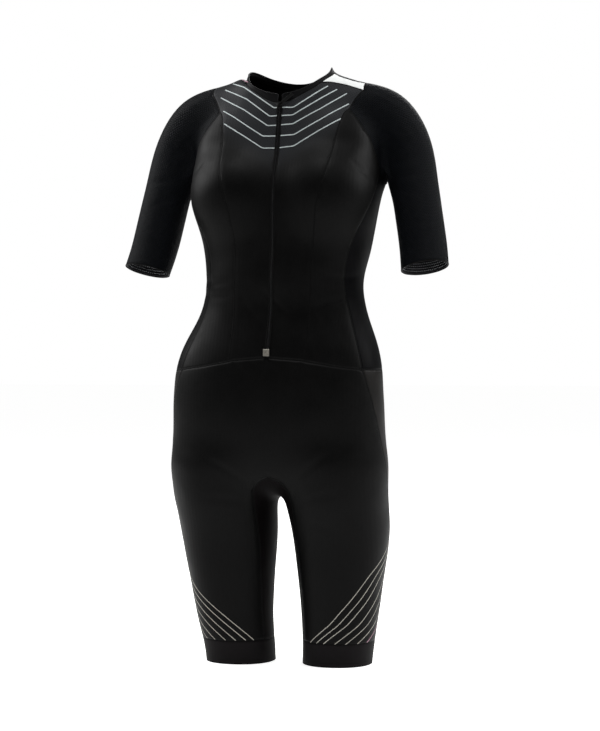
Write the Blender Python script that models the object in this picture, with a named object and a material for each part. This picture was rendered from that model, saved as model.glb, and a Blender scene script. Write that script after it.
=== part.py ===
"""Women's short-sleeved triathlon suit, worn and hollow, with nobody inside.

Metres, +Z up. The front faces -Y and the wearer's left is +X. The origin lies at the base of the neck,
between the shoulders that hold the suit up. A smooth general figure is worked out from short tables of
sections. The seams are curves on it, and each cut piece is a thin wall stretched between its seams.
"""
import bpy
import bmesh
import numpy as np
from mathutils import Matrix, Vector

LEFT, RIGHT = 1, -1
SIDE_NAMES = {LEFT: "left", RIGHT: "right"}

# Driving dimensions of the garment
CLOTH = 0.0012              # wall thickness of the knitted cloth
RELAX_ROUNDS = 24           # evening out of a panel's grid between its seams
SEAM_GAP = 0.0003           # clear gap that touching pieces keep
NECK_CENTRE_Y = 0.012       # the neck's axis lies a little behind the chest's
ZIP_HALF = 0.0034           # half of the zip chain's width
ARM_BLEND = 0.026           # size of the rounding in the armpit
BUST_BLEND = 0.034
CROTCH_BLEND = 0.026
CROTCH_FLOOR = -0.622
SHOULDER_ROOF = 0.004
HEM_Z = -0.889              # bottom edge of the legs
LEG_BAND_Z = -0.854         # seam above the leg's hem band
GRIP_HEIGHT = 0.024         # gripper tape inside the cuff
BELLY_Z = -0.480            # heights that the middle line of the shorts passes on its way to the crotch
FORK_Z = -0.550

# Trunk: height, centre depth, half width, depth to the front, depth to the back, squareness
TRUNK = [
    (-0.890, 0.000, 0.110, 0.085, 0.100, 2.2),
    (-0.630, 0.000, 0.150, 0.050, 0.090, 2.3),
    (-0.590, 0.000, 0.159, 0.076, 0.116, 2.3),
    (-0.540, 0.000, 0.1635, 0.090, 0.124, 2.3),
    (-0.466, 0.000, 0.1620, 0.088, 0.112, 2.3),
    (-0.419, 0.000, 0.1570, 0.084, 0.096, 2.3),
    (-0.382, 0.000, 0.1435, 0.084, 0.082, 2.2),
    (-0.345, 0.000, 0.1285, 0.087, 0.074, 2.2),
    (-0.307, 0.000, 0.1225, 0.091, 0.073, 2.2),
    (-0.252, 0.000, 0.1305, 0.100, 0.082, 2.2),
    (-0.196, 0.000, 0.1405, 0.100, 0.094, 2.3),
    (-0.150, 0.003, 0.1465, 0.094, 0.098, 2.7),
    (-0.110, 0.007, 0.1450, 0.082, 0.092, 2.9),
    (-0.060, 0.012, 0.1330, 0.070, 0.074, 2.7),
    (-0.020, 0.016, 0.1000, 0.058, 0.052, 2.2),
    (0.060, 0.016, 0.0600, 0.050, 0.046, 2.0),
]
# Leg: height, axis sideways, axis depth, half width, half depth
LEG = [
    (-0.900, 0.0760, 0.000, 0.0530, 0.0550),
    (-0.867, 0.0785, 0.000, 0.0548, 0.0570),
    (-0.829, 0.0825, 0.000, 0.0578, 0.0605),
    (-0.792, 0.0850, 0.001, 0.0618, 0.0650),
    (-0.755, 0.0865, 0.002, 0.0660, 0.0700),
    (-0.718, 0.0880, 0.004, 0.0710, 0.0760),
    (-0.680, 0.0885, 0.007, 0.0750, 0.0830),
    (-0.643, 0.0880, 0.010, 0.0780, 0.0880),
    (-0.560, 0.0860, 0.012, 0.0770, 0.0900),
]
# How the standing posture shifts each height: sideways, then forward (negative) or back
POSTURE = [
    (-0.900, 0.0010, 0.003),
    (-0.867, 0.0010, 0.002),
    (-0.830, 0.0000, -0.002),
    (-0.755, -0.0010, -0.008),
    (-0.680, -0.0030, -0.016),
    (-0.640, -0.0060, -0.028),
    (-0.600, -0.0070, -0.036),
    (-0.540, -0.0070, -0.035),
    (-0.466, -0.0070, -0.038),
    (-0.419, -0.0060, -0.033),
    (-0.382, -0.0040, -0.024),
    (-0.345, -0.0025, -0.014),
    (-0.307, -0.0020, -0.012),
    (-0.250, 0.0000, -0.001),
    (-0.200, 0.0000, 0.000),
    (-0.120, 0.0000, 0.000),
    (0.080, 0.0000, 0.000),
]
SHOULDER_HUB = (0.176, 0.028, -0.070)   # the sleeve's middle line bends round this point
# Bust cup: centre and radii
CUP_CENTRE = (0.070, -0.050, -0.172)
CUP_RADII = (0.064, 0.062, 0.066)
# Arm axis from the shoulder to the cuff, with its radius at both ends
ARM_TOP = (0.1785, 0.0370, -0.050)
ARM_CUFF = (0.2197, -0.0154, -0.2825)
ARM_TOP_RADIUS = 0.0370
ARM_CUFF_RADIUS = 0.0362
# Shoulder bar from the neck to the shoulder joint
BAR_NECK = (0.048, 0.020, -0.021)
BAR_JOINT = (0.168, 0.034, -0.046)
BAR_NECK_RADIUS = 0.046
BAR_JOINT_RADIUS = 0.040
NECK_RADII = (0.0615, 0.0580)
NECK_BLEND = 0.030
SHOULDER_BLEND = 0.024

# Princess seam on the front: height, distance from the centre
PRINCESS = [(-0.034, 0.0985), (-0.064, 0.0915), (-0.128, 0.0840), (-0.187, 0.0685),
            (-0.250, 0.0610), (-0.366, 0.0590), (-0.424, 0.0580)]
# Front and back seams of the side panel: height, turn from straight ahead in degrees
SIDE_FRONT = [(-0.150, 78.0), (-0.200, 67.0), (-0.250, 61.0), (-0.300, 62.0), (-0.366, 68.0), (-0.450, 71.0)]
SIDE_BACK = [(-0.150, 104.0), (-0.200, 112.0), (-0.250, 116.0), (-0.300, 118.0), (-0.366, 116.0),
             (-0.450, 112.0)]
# Waist seam: turn in degrees, height
WAIST = [(0.0, -0.4190), (33.0, -0.4240), (63.0, -0.4350), (80.0, -0.4385), (112.0, -0.4330),
         (145.0, -0.4290), (180.0, -0.4290)]
# Outer leg seam down the hip: height, turn round the trunk, then round the leg
HIP_SEAM = [(-0.437, 71.0), (-0.455, 73.0), (-0.506, 79.0), (-0.560, 86.0), (-0.600, 92.0)]
OUTSEAM = [(-0.660, 98.0), (-0.755, 103.0), (-0.854, 106.0), (-0.889, 106.0)]
# Inner thigh panel: crotch arch (height, half width) and the leg seams (height, turn inwards)
ARCH_FRONT = [(0.0, -0.598), (0.015, -0.601), (0.026, -0.615), (0.030, -0.640)]
ARCH_BACK = [(0.0, -0.604), (0.015, -0.607), (0.026, -0.620), (0.030, -0.640)]
INSEAM_FRONT = [(-0.660, 52.0), (-0.705, 51.0), (-0.800, 59.0), (-0.854, 60.0), (-0.889, 60.0)]
INSEAM_BACK = [(-0.660, 136.0), (-0.705, 134.0), (-0.800, 128.0), (-0.854, 126.0), (-0.889, 126.0)]
SIDE_FRONT_WAIST = 71.0     # turn of the side panel's front seam at the waist
SIDE_BACK_WAIST = 112.0     # turn of its back seam there
SLEEVE_RING = 0.42          # place along the arm where the sleeve becomes a plain tube
GRIP_TAPE = 0.0010
ZIP_THICK = 0.0016
SLIDER_Z = -0.0345          # height of the closed slider, just under the collar seam
SLIDER_SIZE = (0.0085, 0.0100, 0.0018)
PULL_LEAN = 47.0            # the pull tab rests up and to the wearer's left, in degrees from the zip
PULL_LENGTH = 0.0270
PULL_WIDTH = 0.0050
PULL_THICK = 0.0014
PULL_RIM = 0.0011
PULL_TILT = 5.0             # its tip leans down towards the collar
EYE_LENGTH = 0.0048
HINGE_HEIGHT = 0.0013       # the tab's end bar turns this high above the slider's plate
BAIL_PLAY = 0.0005
BAIL_THICK = 0.0008
BAIL_WIDTH = 0.0016
BAIL_RISE = 0.0022
BAIL_SINK = 0.0004
SLIDER_LIFT = 0.0005
BOX_LIFT = 0.0010
BOX_Z = -0.4120
BOX_SIZE = (0.0095, 0.0105, 0.0026)
# Neck seam and the collar's top edge: turn from straight ahead, height of each
NECK = [(0.0, -0.0290, -0.0165), (20.0, -0.0215, -0.0130), (35.0, -0.0120, -0.0060), (50.0, 0.0000, 0.0050),
        (65.0, 0.0100, 0.0150), (80.0, 0.0190, 0.0240), (95.0, 0.0270, 0.0335), (120.0, 0.0225, 0.0285),
        (150.0, 0.0125, 0.0190), (180.0, 0.0075, 0.0140)]
NECK_SHOULDER_TURN = 54.0   # where the shoulder seam leaves the neck
BAND_NECK_TURN = 92.0       # back edge of the shoulder band at the neck
BAND_NECK_TURNS = (NECK_SHOULDER_TURN, (NECK_SHOULDER_TURN + BAND_NECK_TURN) / 2, BAND_NECK_TURN)

# Panels across and along: how many cells each seam is cut into
CELLS = {"neck": 3, "shoulder": 3, "armhole_top": 4, "armhole_front": 5, "armpit": 5, "armhole_back": 6,
         "side": 12, "neck_back": 6, "hip": 5, "leg": 9, "arch": 3, "inner": 4, "sleeve_top": 3, "sleeve": 5}

COLOURS = {
    "stretch": (0.010, 0.010, 0.011), "mesh": (0.006, 0.007, 0.010), "yoke": (0.028, 0.029, 0.031),
    "white": (0.75, 0.75, 0.74), "grip": (0.05, 0.05, 0.05), "metal": (0.6, 0.58, 0.53),
    "zip": (0.02, 0.02, 0.021), "pull": (0.012, 0.012, 0.013),
}


# ---------------------------------------------------------------- smooth tables
def smooth_table(rows, steps=400):
    """Cubic curves through a table whose first column is its key, sampled finely."""
    table = np.array(rows, dtype=float)
    table = table[np.argsort(table[:, 0])]
    key = table[:, 0]
    slope = np.gradient(table[:, 1:], key, axis=0)
    fine = np.linspace(key[0], key[-1], steps)
    low = np.clip(np.searchsorted(key, fine, side="right") - 1, 0, len(key) - 2)
    span = (key[low + 1] - key[low])[:, None]
    t = (fine[:, None] - key[low][:, None]) / span
    value = ((2 * t**3 - 3 * t**2 + 1) * table[low, 1:] + (t**3 - 2 * t**2 + t) * span * slope[low]
             + (3 * t**2 - 2 * t**3) * table[low + 1, 1:] + (t**3 - t**2) * span * slope[low + 1])
    return fine, value


def read_table(table, key):
    """All columns of a smooth table at the given keys."""
    fine, value = table
    return [np.interp(key, fine, value[:, column]) for column in range(value.shape[1])]


TRUNK_CURVES = smooth_table(TRUNK)
LEG_CURVES = smooth_table(LEG)
POSTURE_CURVES = smooth_table(POSTURE)


# ---------------------------------------------------------------- the general figure
def blend(first, second, size):
    """Union of two forms with a soft rounding between them."""
    near = np.maximum(size - np.abs(first - second), 0) / size
    return np.minimum(first, second) - near * near * size / 4


def section(x, y, half_width, depth, power):
    """Distance outside a rounded section, measured from its centre outwards."""
    reach = ((np.abs(x) / half_width)**power + (np.abs(y) / depth)**power)**(1 / power)
    radius = np.hypot(x, y) + 1e-9
    return radius - radius / np.maximum(reach, 1e-9)


def capsule(p, start, end, start_radius, end_radius):
    """Distance outside a tapered bar with round ends."""
    start = np.array(start)
    axis = np.array(end) - start
    along = np.clip((p - start) @ axis / (axis @ axis), 0, 1)
    gap = np.linalg.norm(p - start - along[..., None] * axis, axis=-1)
    return gap - (start_radius + (end_radius - start_radius) * along)


def ellipsoid(p, centre, radii):
    """Approximate distance outside an ellipsoid."""
    offset = (p - np.array(centre)) / np.array(radii)
    reach = np.linalg.norm(offset, axis=-1)
    steep = np.linalg.norm(offset / np.array(radii), axis=-1)
    return reach * (reach - 1) / np.maximum(steep, 1e-9)


def form(p):
    """Signed distance to the general figure that the suit is stretched over, before its posture."""
    x, y, z = p[..., 0], p[..., 1], p[..., 2]
    mirrored = p * np.array((-1.0, 1.0, 1.0))
    centre, half_width, front, back, power = read_table(TRUNK_CURVES, z)
    depth = np.where(y < centre, front, back)
    body = section(x, y - centre, half_width, depth, power)
    body = -blend(-body, -(z - SHOULDER_ROOF), NECK_BLEND)
    body = -blend(-body, -(CROTCH_FLOOR - z), CROTCH_BLEND)
    side_x = np.abs(x)
    sided = np.stack((side_x, y, z), axis=-1)
    bar = capsule(sided, BAR_NECK, BAR_JOINT, BAR_NECK_RADIUS, BAR_JOINT_RADIUS)
    body = blend(body, bar, SHOULDER_BLEND)
    neck = section(x, y - NECK_CENTRE_Y, NECK_RADII[0], NECK_RADII[1], 2.0)
    neck = np.maximum(neck, -0.08 - z)
    body = blend(body, neck, NECK_BLEND)
    for point in (p, mirrored):
        body = blend(body, ellipsoid(point, CUP_CENTRE, CUP_RADII), BUST_BLEND)
    arm = capsule(sided, ARM_TOP, ARM_CUFF, ARM_TOP_RADIUS, ARM_CUFF_RADIUS)
    body = blend(body, arm, ARM_BLEND)
    axis_x, axis_y, leg_width, leg_depth = read_table(LEG_CURVES, z)
    above = z - LEG[-1][0]
    for point_x in (x, -x):
        leg = section(point_x - axis_x, y - axis_y, leg_width, leg_depth, 2.1)
        leg = -blend(-leg, -above, CROTCH_BLEND)
        body = blend(body, leg, CROTCH_BLEND)
    return body


def outward(p, step=0.0004):
    """Gradient of the form: its direction points out of the figure."""
    shifts = np.eye(3) * step
    return np.stack([(form(p + s) - form(p - s)) / (2 * step) for s in shifts], axis=-1)


def unit(v):
    return v / np.maximum(np.linalg.norm(v, axis=-1, keepdims=True), 1e-12)


def fit(p, rounds=8):
    """Move points along the form's gradient until they lie on its surface."""
    p = np.array(p, dtype=float)
    for _ in range(rounds):
        slope = outward(p)
        size = np.maximum((slope * slope).sum(axis=-1, keepdims=True), 0.05)
        p = p - np.clip(form(p), -0.02, 0.02)[..., None] * slope / size
    return p


def first_crossing(start, direction, length, samples=160, rounds=24):
    """Where rays first pass through the surface, found by marching and halving."""
    start = np.atleast_2d(np.array(start, dtype=float))
    direction = unit(np.atleast_2d(np.array(direction, dtype=float)))
    t = np.linspace(0, length, samples)
    value = form(start[:, None, :] + t[None, :, None] * direction[:, None, :])
    crossed = np.sign(value) != np.sign(value[:, :1])
    hit = np.maximum(np.argmax(crossed, axis=1), 1)
    low, high = t[hit - 1], t[hit]
    low_sign = np.sign(value[:, 0])
    for _ in range(rounds):
        middle = (low + high) / 2
        same = np.sign(form(start + middle[:, None] * direction)) == low_sign
        low = np.where(same, middle, low)
        high = np.where(same, high, middle)
    return start + high[:, None] * direction


def on_front(x, z):
    return first_crossing((x, -0.3, z), (0, 1, 0), 0.45)[0]


def on_back(x, z):
    return first_crossing((x, 0.3, z), (0, -1, 0), 0.45)[0]


def on_top(x, y):
    return first_crossing((x, y, 0.2), (0, 0, -1), 0.5)[0]


def under_arm(x, y):
    return first_crossing((x, y, -0.24), (0, 0, 1), 0.3)[0]


def round_trunk(turn, z, side=1):
    """Point at a turn from straight ahead, seen from the trunk's axis."""
    angle = np.radians(turn)
    centre = read_table(TRUNK_CURVES, z)[0]
    return first_crossing((0, centre, z), (side * np.sin(angle), -np.cos(angle), 0), 0.3)[0]


def round_neck(turn, z, side=1):
    angle = np.radians(turn)
    return first_crossing((0, NECK_CENTRE_Y, z), (side * np.sin(angle), -np.cos(angle), 0), 0.3)[0]


def round_leg(turn, z, side=1):
    """Point round the leg's axis: a positive turn is outwards, a negative one inwards."""
    angle = np.radians(turn)
    axis_x, axis_y = [float(v) for v in read_table(LEG_CURVES, z)[:2]]
    return first_crossing((side * axis_x, axis_y, z), (side * np.sin(angle), -np.cos(angle), 0), 0.14)[0]


def posture(p):
    """Carry points from the upright figure to its standing posture."""
    sideways, forward = read_table(POSTURE_CURVES, p[..., 2])
    return p + np.stack((sideways, forward, np.zeros_like(sideways)), axis=-1)


# ---------------------------------------------------------------- seams
def curve(points, cells):
    """A smooth curve through points, cut into equal lengths and laid on the form."""
    points = np.array(points, dtype=float)
    length = np.concatenate(([0], np.cumsum(np.linalg.norm(np.diff(points, axis=0), axis=1))))
    fine, value = smooth_table(np.column_stack((length, points)))
    arc = np.concatenate(([0], np.cumsum(np.linalg.norm(np.diff(value, axis=0), axis=1))))
    wanted = np.linspace(0, arc[-1], cells + 1)
    laid = np.stack([np.interp(wanted, arc, value[:, axis]) for axis in range(3)], axis=-1)
    ends = laid[[0, -1]].copy()
    laid = fit(laid)
    laid[[0, -1]] = ends
    return laid


def join(*curves):
    """Curves laid end to end, each shared point kept once."""
    return np.concatenate([curves[0]] + [piece[1:] for piece in curves[1:]])


def sided(points, side):
    return np.array(points) * np.array((side, 1.0, 1.0))


def waist_height(turn):
    return float(read_table(smooth_table(WAIST), turn)[0])


def neck_point(turn, side, column=0):
    """A point of the neck seam (column 0) or of the collar's top edge (column 1)."""
    heights = read_table(smooth_table([(row[0], row[1], row[2]) for row in NECK]), turn)
    return round_neck(turn, float(heights[column]), side)


def neck_curve(start_turn, end_turn, cells, side, column=0):
    return np.array([neck_point(turn, side, column) for turn in np.linspace(start_turn, end_turn, cells + 1)])


def waist_curve(start, end, cells, side):
    """The waist seam between two turns."""
    turns = np.linspace(start, end, cells + 1)
    return np.array([round_trunk(turn, waist_height(turn), side) for turn in turns])


def trunk_turn(point):
    """The turn of a point round the trunk's axis, from straight ahead."""
    centre = read_table(TRUNK_CURVES, point[2])[0]
    return float(np.degrees(np.arctan2(abs(point[0]), centre - point[1])))


# The armhole's corners, on the wearer's left
SHOULDER = on_top(0.1135, 0.030)
BAND_CORNER = on_top(0.1150, -0.006)
FRONT_CORNER = on_front(0.0985, -0.034)
PIT_FRONT = on_front(0.1475, -0.131)
PIT = under_arm(0.1505, 0.010)
PIT_BACK = on_back(0.1475, -0.131)
# Seams of the wearer's left half; the right half mirrors them
ARMHOLE_BAND = curve([SHOULDER, on_top(0.1145, 0.017), BAND_CORNER], 2)
ARMHOLE_TOP = {LEFT: curve([BAND_CORNER, FRONT_CORNER], CELLS["armhole_top"]),
               RIGHT: curve([BAND_CORNER, FRONT_CORNER], CELLS["armhole_top"] - 2)}
ARMHOLE_FRONT = curve([FRONT_CORNER, on_front(0.1230, -0.066), on_front(0.1420, -0.104), PIT_FRONT],
                      CELLS["armhole_front"])
ARMPIT = curve([PIT_FRONT, fit(PIT[None])[0], PIT_BACK], CELLS["armpit"])
ARMHOLE_BACK = curve([PIT_BACK, on_back(0.1450, -0.104), on_back(0.1370, -0.066), on_back(0.1270, -0.030),
                      on_top(0.1170, 0.052), SHOULDER], CELLS["armhole_back"])
PRINCESS_SEAM = curve([on_front(x, z) for z, x in PRINCESS], CELLS["side"])
WAIST_PRINCESS_TURN = trunk_turn(PRINCESS_SEAM[-1])
PRINCESS_SEAM[-1] = round_trunk(WAIST_PRINCESS_TURN, waist_height(WAIST_PRINCESS_TURN))
SIDE_FRONT_SEAM = curve([PIT_FRONT] + [round_trunk(turn, z) for z, turn in SIDE_FRONT[1:-1]]
                        + [round_trunk(SIDE_FRONT_WAIST, waist_height(SIDE_FRONT_WAIST))], CELLS["side"])
SIDE_BACK_SEAM = curve([PIT_BACK] + [round_trunk(turn, z) for z, turn in SIDE_BACK[1:-1]]
                       + [round_trunk(SIDE_BACK_WAIST, waist_height(SIDE_BACK_WAIST))], CELLS["side"])


def zip_edge(side):
    """The panel's edge along the zip, from the neck seam to the waist."""
    top = neck_top_at_zip(side)
    heights = np.linspace(top[2], waist_height(0.0), CELLS["side"] + CELLS["armhole_top"] + 1)
    return sided([on_front(ZIP_HALF, z) for z in heights], side)


def neck_top_at_zip(side):
    z = NECK[0][1]
    return sided(on_front(ZIP_HALF, z), side)


# ---------------------------------------------------------------- patches and walls
def patch(top, bottom, left, right):
    """A grid of points between four seams, laid on the form."""
    columns, rows = len(top), len(left)
    u = np.linspace(0, 1, columns)[None, :, None]
    v = np.linspace(0, 1, rows)[:, None, None]
    grid = ((1 - v) * top[None] + v * bottom[None] + (1 - u) * left[:, None] + u * right[:, None]
            - (1 - u) * (1 - v) * top[0] - u * (1 - v) * top[-1]
            - (1 - u) * v * bottom[0] - u * v * bottom[-1])
    for _ in range(RELAX_ROUNDS):
        around = grid[:-2, 1:-1] + grid[2:, 1:-1] + grid[1:-1, :-2] + grid[1:-1, 2:]
        grid[1:-1, 1:-1] = fit(around / 4, rounds=1)
    grid[1:-1, 1:-1] = fit(grid[1:-1, 1:-1])
    return grid


def grid_skin(grid, closed=False):
    """The points of a grid and its four-cornered cells, all facing outwards."""
    rows, columns = grid.shape[:2]
    wide = columns if closed else columns - 1
    cells = []
    for row in range(rows - 1):
        for column in range(wide):
            after = (column + 1) % columns
            cells.append((row * columns + column, row * columns + after,
                          (row + 1) * columns + after, (row + 1) * columns + column))
    points = grid.reshape(-1, 3)
    corners = points[np.array(cells)]
    facing = np.cross(corners[:, 2] - corners[:, 0], corners[:, 3] - corners[:, 1])
    if (facing * outward(corners.mean(axis=1))).sum() < 0:
        cells = [cell[::-1] for cell in cells]
    return points, cells


def merge_skins(*skins):
    """Several skins as one, with shared points kept once."""
    points, cells, known = [], [], {}
    for skin_points, skin_cells in skins:
        index = []
        for point in skin_points:
            key = tuple(np.round(point, 6) + 0.0)
            if key not in known:
                known[key] = len(points)
                points.append(point)
            index.append(known[key])
        for cell in skin_cells:
            corners = [index[corner] for corner in cell]
            distinct = [c for n, c in enumerate(corners) if c not in corners[:n]]
            if len(distinct) > 2:
                cells.append(tuple(distinct))
    return np.array(points), cells


def border_edges(cells):
    """Edges that only one cell has, in that cell's direction."""
    seen = {}
    for cell in cells:
        for start, end in zip(cell, cell[1:] + cell[:1]):
            seen[(start, end)] = True
    return [edge for edge in seen if (edge[1], edge[0]) not in seen]


def inset(points, cells, normals, distance):
    """Draw a skin's border in, so that neighbouring pieces keep a gap."""
    points = points.copy()
    pull = {}
    for start, end in border_edges(cells):
        along = points[end] - points[start]
        for corner in (start, end):
            pull.setdefault(corner, []).append(unit(np.cross(normals[corner], along)))
    for corner, directions in pull.items():
        total = np.sum(directions, axis=0)
        shared = 1 + (directions[0] @ directions[1] if len(directions) > 1 else 1)
        scale = 2 if len(directions) == 1 else 1
        points[corner] += distance * total * scale / max(shared, 0.4)
    return points


def material(name):
    made = bpy.data.materials.get(name)
    if made is None:
        made = bpy.data.materials.new(name)
        made.use_nodes = True
        shader = made.node_tree.nodes["Principled BSDF"]
        shader.inputs["Base Color"].default_value = (*COLOURS[name], 1.0)
        shader.inputs["Roughness"].default_value = 0.3 if name in ("metal", "pull") else 0.6
        shader.inputs["Metallic"].default_value = 1.0 if name == "metal" else 0.0
    return made


def add_object(name, points, faces, look):
    mesh = bpy.data.meshes.new(name)
    mesh.from_pydata([tuple(point) for point in points], [], faces)
    mesh.validate()
    mesh.materials.append(material(look))
    mesh.shade_smooth()
    made = bpy.data.objects.new(name, mesh)
    bpy.context.scene.collection.objects.link(made)
    return made


def split_cells(points, cells):
    """Flat cells: a four-cornered one is cut along the diagonal that lies nearer the form."""
    flat = []
    for cell in cells:
        if len(cell) == 3:
            flat.append(cell)
            continue
        a, b, c, d = cell
        gaps = np.abs(form(np.array([points[a] + points[c], points[b] + points[d]]) / 2))
        flat += [(a, b, c), (a, c, d)] if gaps[0] <= gaps[1] else [(a, b, d), (b, c, d)]
    return flat


def wall(name, skin, look, outer=0.0, thickness=CLOTH):
    """One cut piece: its skin, moved out by a depth, and thickened inwards."""
    points, cells = skin
    cells = split_cells(points, cells)
    normals = unit(outward(points))
    points = inset(points, cells, normals, SEAM_GAP / 2) + normals * outer
    inner = points - normals * thickness
    count = len(points)
    faces = list(cells)
    faces += [tuple(corner + count for corner in reversed(cell)) for cell in cells]
    faces += [(end, start, start + count, end + count) for start, end in border_edges(cells)]
    return add_object(name, posture(np.concatenate((points, inner))), faces, look)


# ---------------------------------------------------------------- start from an empty scene
for old in list(bpy.data.objects):
    bpy.data.objects.remove(old, do_unlink=True)

# ---------------------------------------------------------------- top: front, sides, back
neck_front = {}
for side in (LEFT, RIGHT):
    turns = np.linspace(0, NECK_SHOULDER_TURN, CELLS["neck"] + 1)[1:]
    neck_front[side] = np.array([neck_top_at_zip(side)] + [neck_point(turn, side) for turn in turns])
shoulder_seam = {
    LEFT: curve([neck_front[LEFT][-1], on_top(0.083, -0.012), BAND_CORNER], CELLS["shoulder"]),
    RIGHT: curve([neck_front[RIGHT][-1], on_top(-0.082, 0.014), sided(SHOULDER, RIGHT)], CELLS["shoulder"]),
}
band_neck = np.array([neck_point(turn, LEFT) for turn in BAND_NECK_TURNS])
band_back = curve([band_neck[-1], on_top(0.088, 0.022), SHOULDER], CELLS["shoulder"])

front_bottom = {}
zip_edges = {}
for side in (LEFT, RIGHT):
    upper = ARMHOLE_TOP[LEFT] if side == LEFT else join(ARMHOLE_BAND, ARMHOLE_TOP[RIGHT])
    outer_edge = join(sided(upper, side), sided(PRINCESS_SEAM, side))
    zip_edges[side] = zip_edge(side)
    top_edge = join(neck_front[side], shoulder_seam[side])
    front_bottom[side] = waist_curve(trunk_turn(zip_edges[side][-1]), WAIST_PRINCESS_TURN,
                                     len(top_edge) - 1, side)
    front_bottom[side][0] = zip_edges[side][-1]
    wall("front_centre_" + SIDE_NAMES[side],
         grid_skin(patch(top_edge, front_bottom[side], zip_edges[side], outer_edge)), "yoke")

side_bottom = {}
flank_bottom = {}
for side in (LEFT, RIGHT):
    side_bottom[side] = waist_curve(WAIST_PRINCESS_TURN, SIDE_FRONT_WAIST, CELLS["armhole_front"], side)
    wall("front_side_" + SIDE_NAMES[side],
         grid_skin(patch(sided(ARMHOLE_FRONT, side), side_bottom[side], sided(PRINCESS_SEAM, side),
                         sided(SIDE_FRONT_SEAM, side))), "stretch")
    flank_bottom[side] = waist_curve(SIDE_FRONT_WAIST, SIDE_BACK_WAIST, CELLS["armpit"], side)
    wall("side_" + SIDE_NAMES[side],
         grid_skin(patch(sided(ARMPIT, side), flank_bottom[side], sided(SIDE_FRONT_SEAM, side),
                         sided(SIDE_BACK_SEAM, side))), "stretch")

back_neck = join(neck_curve(BAND_NECK_TURN, 180.0, CELLS["neck_back"] // 2, LEFT),
                 neck_curve(NECK_SHOULDER_TURN, 180.0, CELLS["neck_back"] // 2, RIGHT)[::-1])
back_top = join(band_back[::-1], back_neck, shoulder_seam[RIGHT])
back_bottom_half = {side: waist_curve(SIDE_BACK_WAIST, 180.0, (len(back_top) - 1) // 2, side)
                    for side in (LEFT, RIGHT)}
back_bottom = join(back_bottom_half[LEFT], back_bottom_half[RIGHT][::-1])
back_edges = {side: join(sided(ARMHOLE_BACK[::-1], side), sided(SIDE_BACK_SEAM, side))
              for side in (LEFT, RIGHT)}
wall("back", grid_skin(patch(back_top, back_bottom, back_edges[LEFT], back_edges[RIGHT])), "stretch")
wall("shoulder_band_left", grid_skin(patch(shoulder_seam[LEFT], band_back,
                                           band_neck, ARMHOLE_BAND[::-1])), "white")

# ---------------------------------------------------------------- collar: a stand band, open at the zip
collar_turns = {
    LEFT: list(np.linspace(0, NECK_SHOULDER_TURN, CELLS["neck"] + 1)) + list(BAND_NECK_TURNS[1:])
    + list(np.linspace(BAND_NECK_TURN, 180.0, CELLS["neck_back"] // 2 + 1))[1:],
    RIGHT: list(np.linspace(0, NECK_SHOULDER_TURN, CELLS["neck"] + 1))
    + list(np.linspace(NECK_SHOULDER_TURN, 180.0, CELLS["neck_back"] // 2 + 1))[1:],
}
collar_halves = []
for side in (LEFT, RIGHT):
    seam = np.array([neck_point(turn, side) for turn in collar_turns[side]])
    edge = np.array([neck_point(turn, side, 1) for turn in collar_turns[side]])
    seam[0] = neck_top_at_zip(side)
    edge[0] = sided(on_front(ZIP_HALF, NECK[0][2]), side)
    middle = fit((seam + edge) / 2)
    collar_halves.append(grid_skin(np.array([seam, middle, edge])))
wall("collar", merge_skins(*collar_halves), "stretch")

# ---------------------------------------------------------------- sleeves and their gripper tapes
def arm_ring(along, turns, side):
    """A ring round the arm, square to its axis, at the given turns from the front."""
    top, cuff = np.array(ARM_TOP), np.array(ARM_CUFF)
    axis = unit(cuff - top)
    centre = top + along * (cuff - top)
    forward = unit(np.array((0.0, -1.0, 0.0)) - axis * (np.array((0.0, -1.0, 0.0)) @ axis))
    outwards = unit(np.cross(forward, axis))
    outwards = outwards if outwards[0] > 0 else -outwards
    ring = []
    for turn in np.radians(turns):
        direction = np.cos(turn) * forward + np.sin(turn) * outwards
        ring.append(first_crossing(centre, direction, 0.08)[0])
    return sided(ring, side)


def turns_along(loop_parts, anchors):
    """Turns for a closed loop's points: each part runs between two anchor turns."""
    turns = []
    for part, (start, end) in zip(loop_parts, anchors):
        length = np.concatenate(([0], np.cumsum(np.linalg.norm(np.diff(part, axis=0), axis=1))))
        turns += list(start + (end - start) * length[:-1] / length[-1])
    return np.array(turns)


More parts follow.
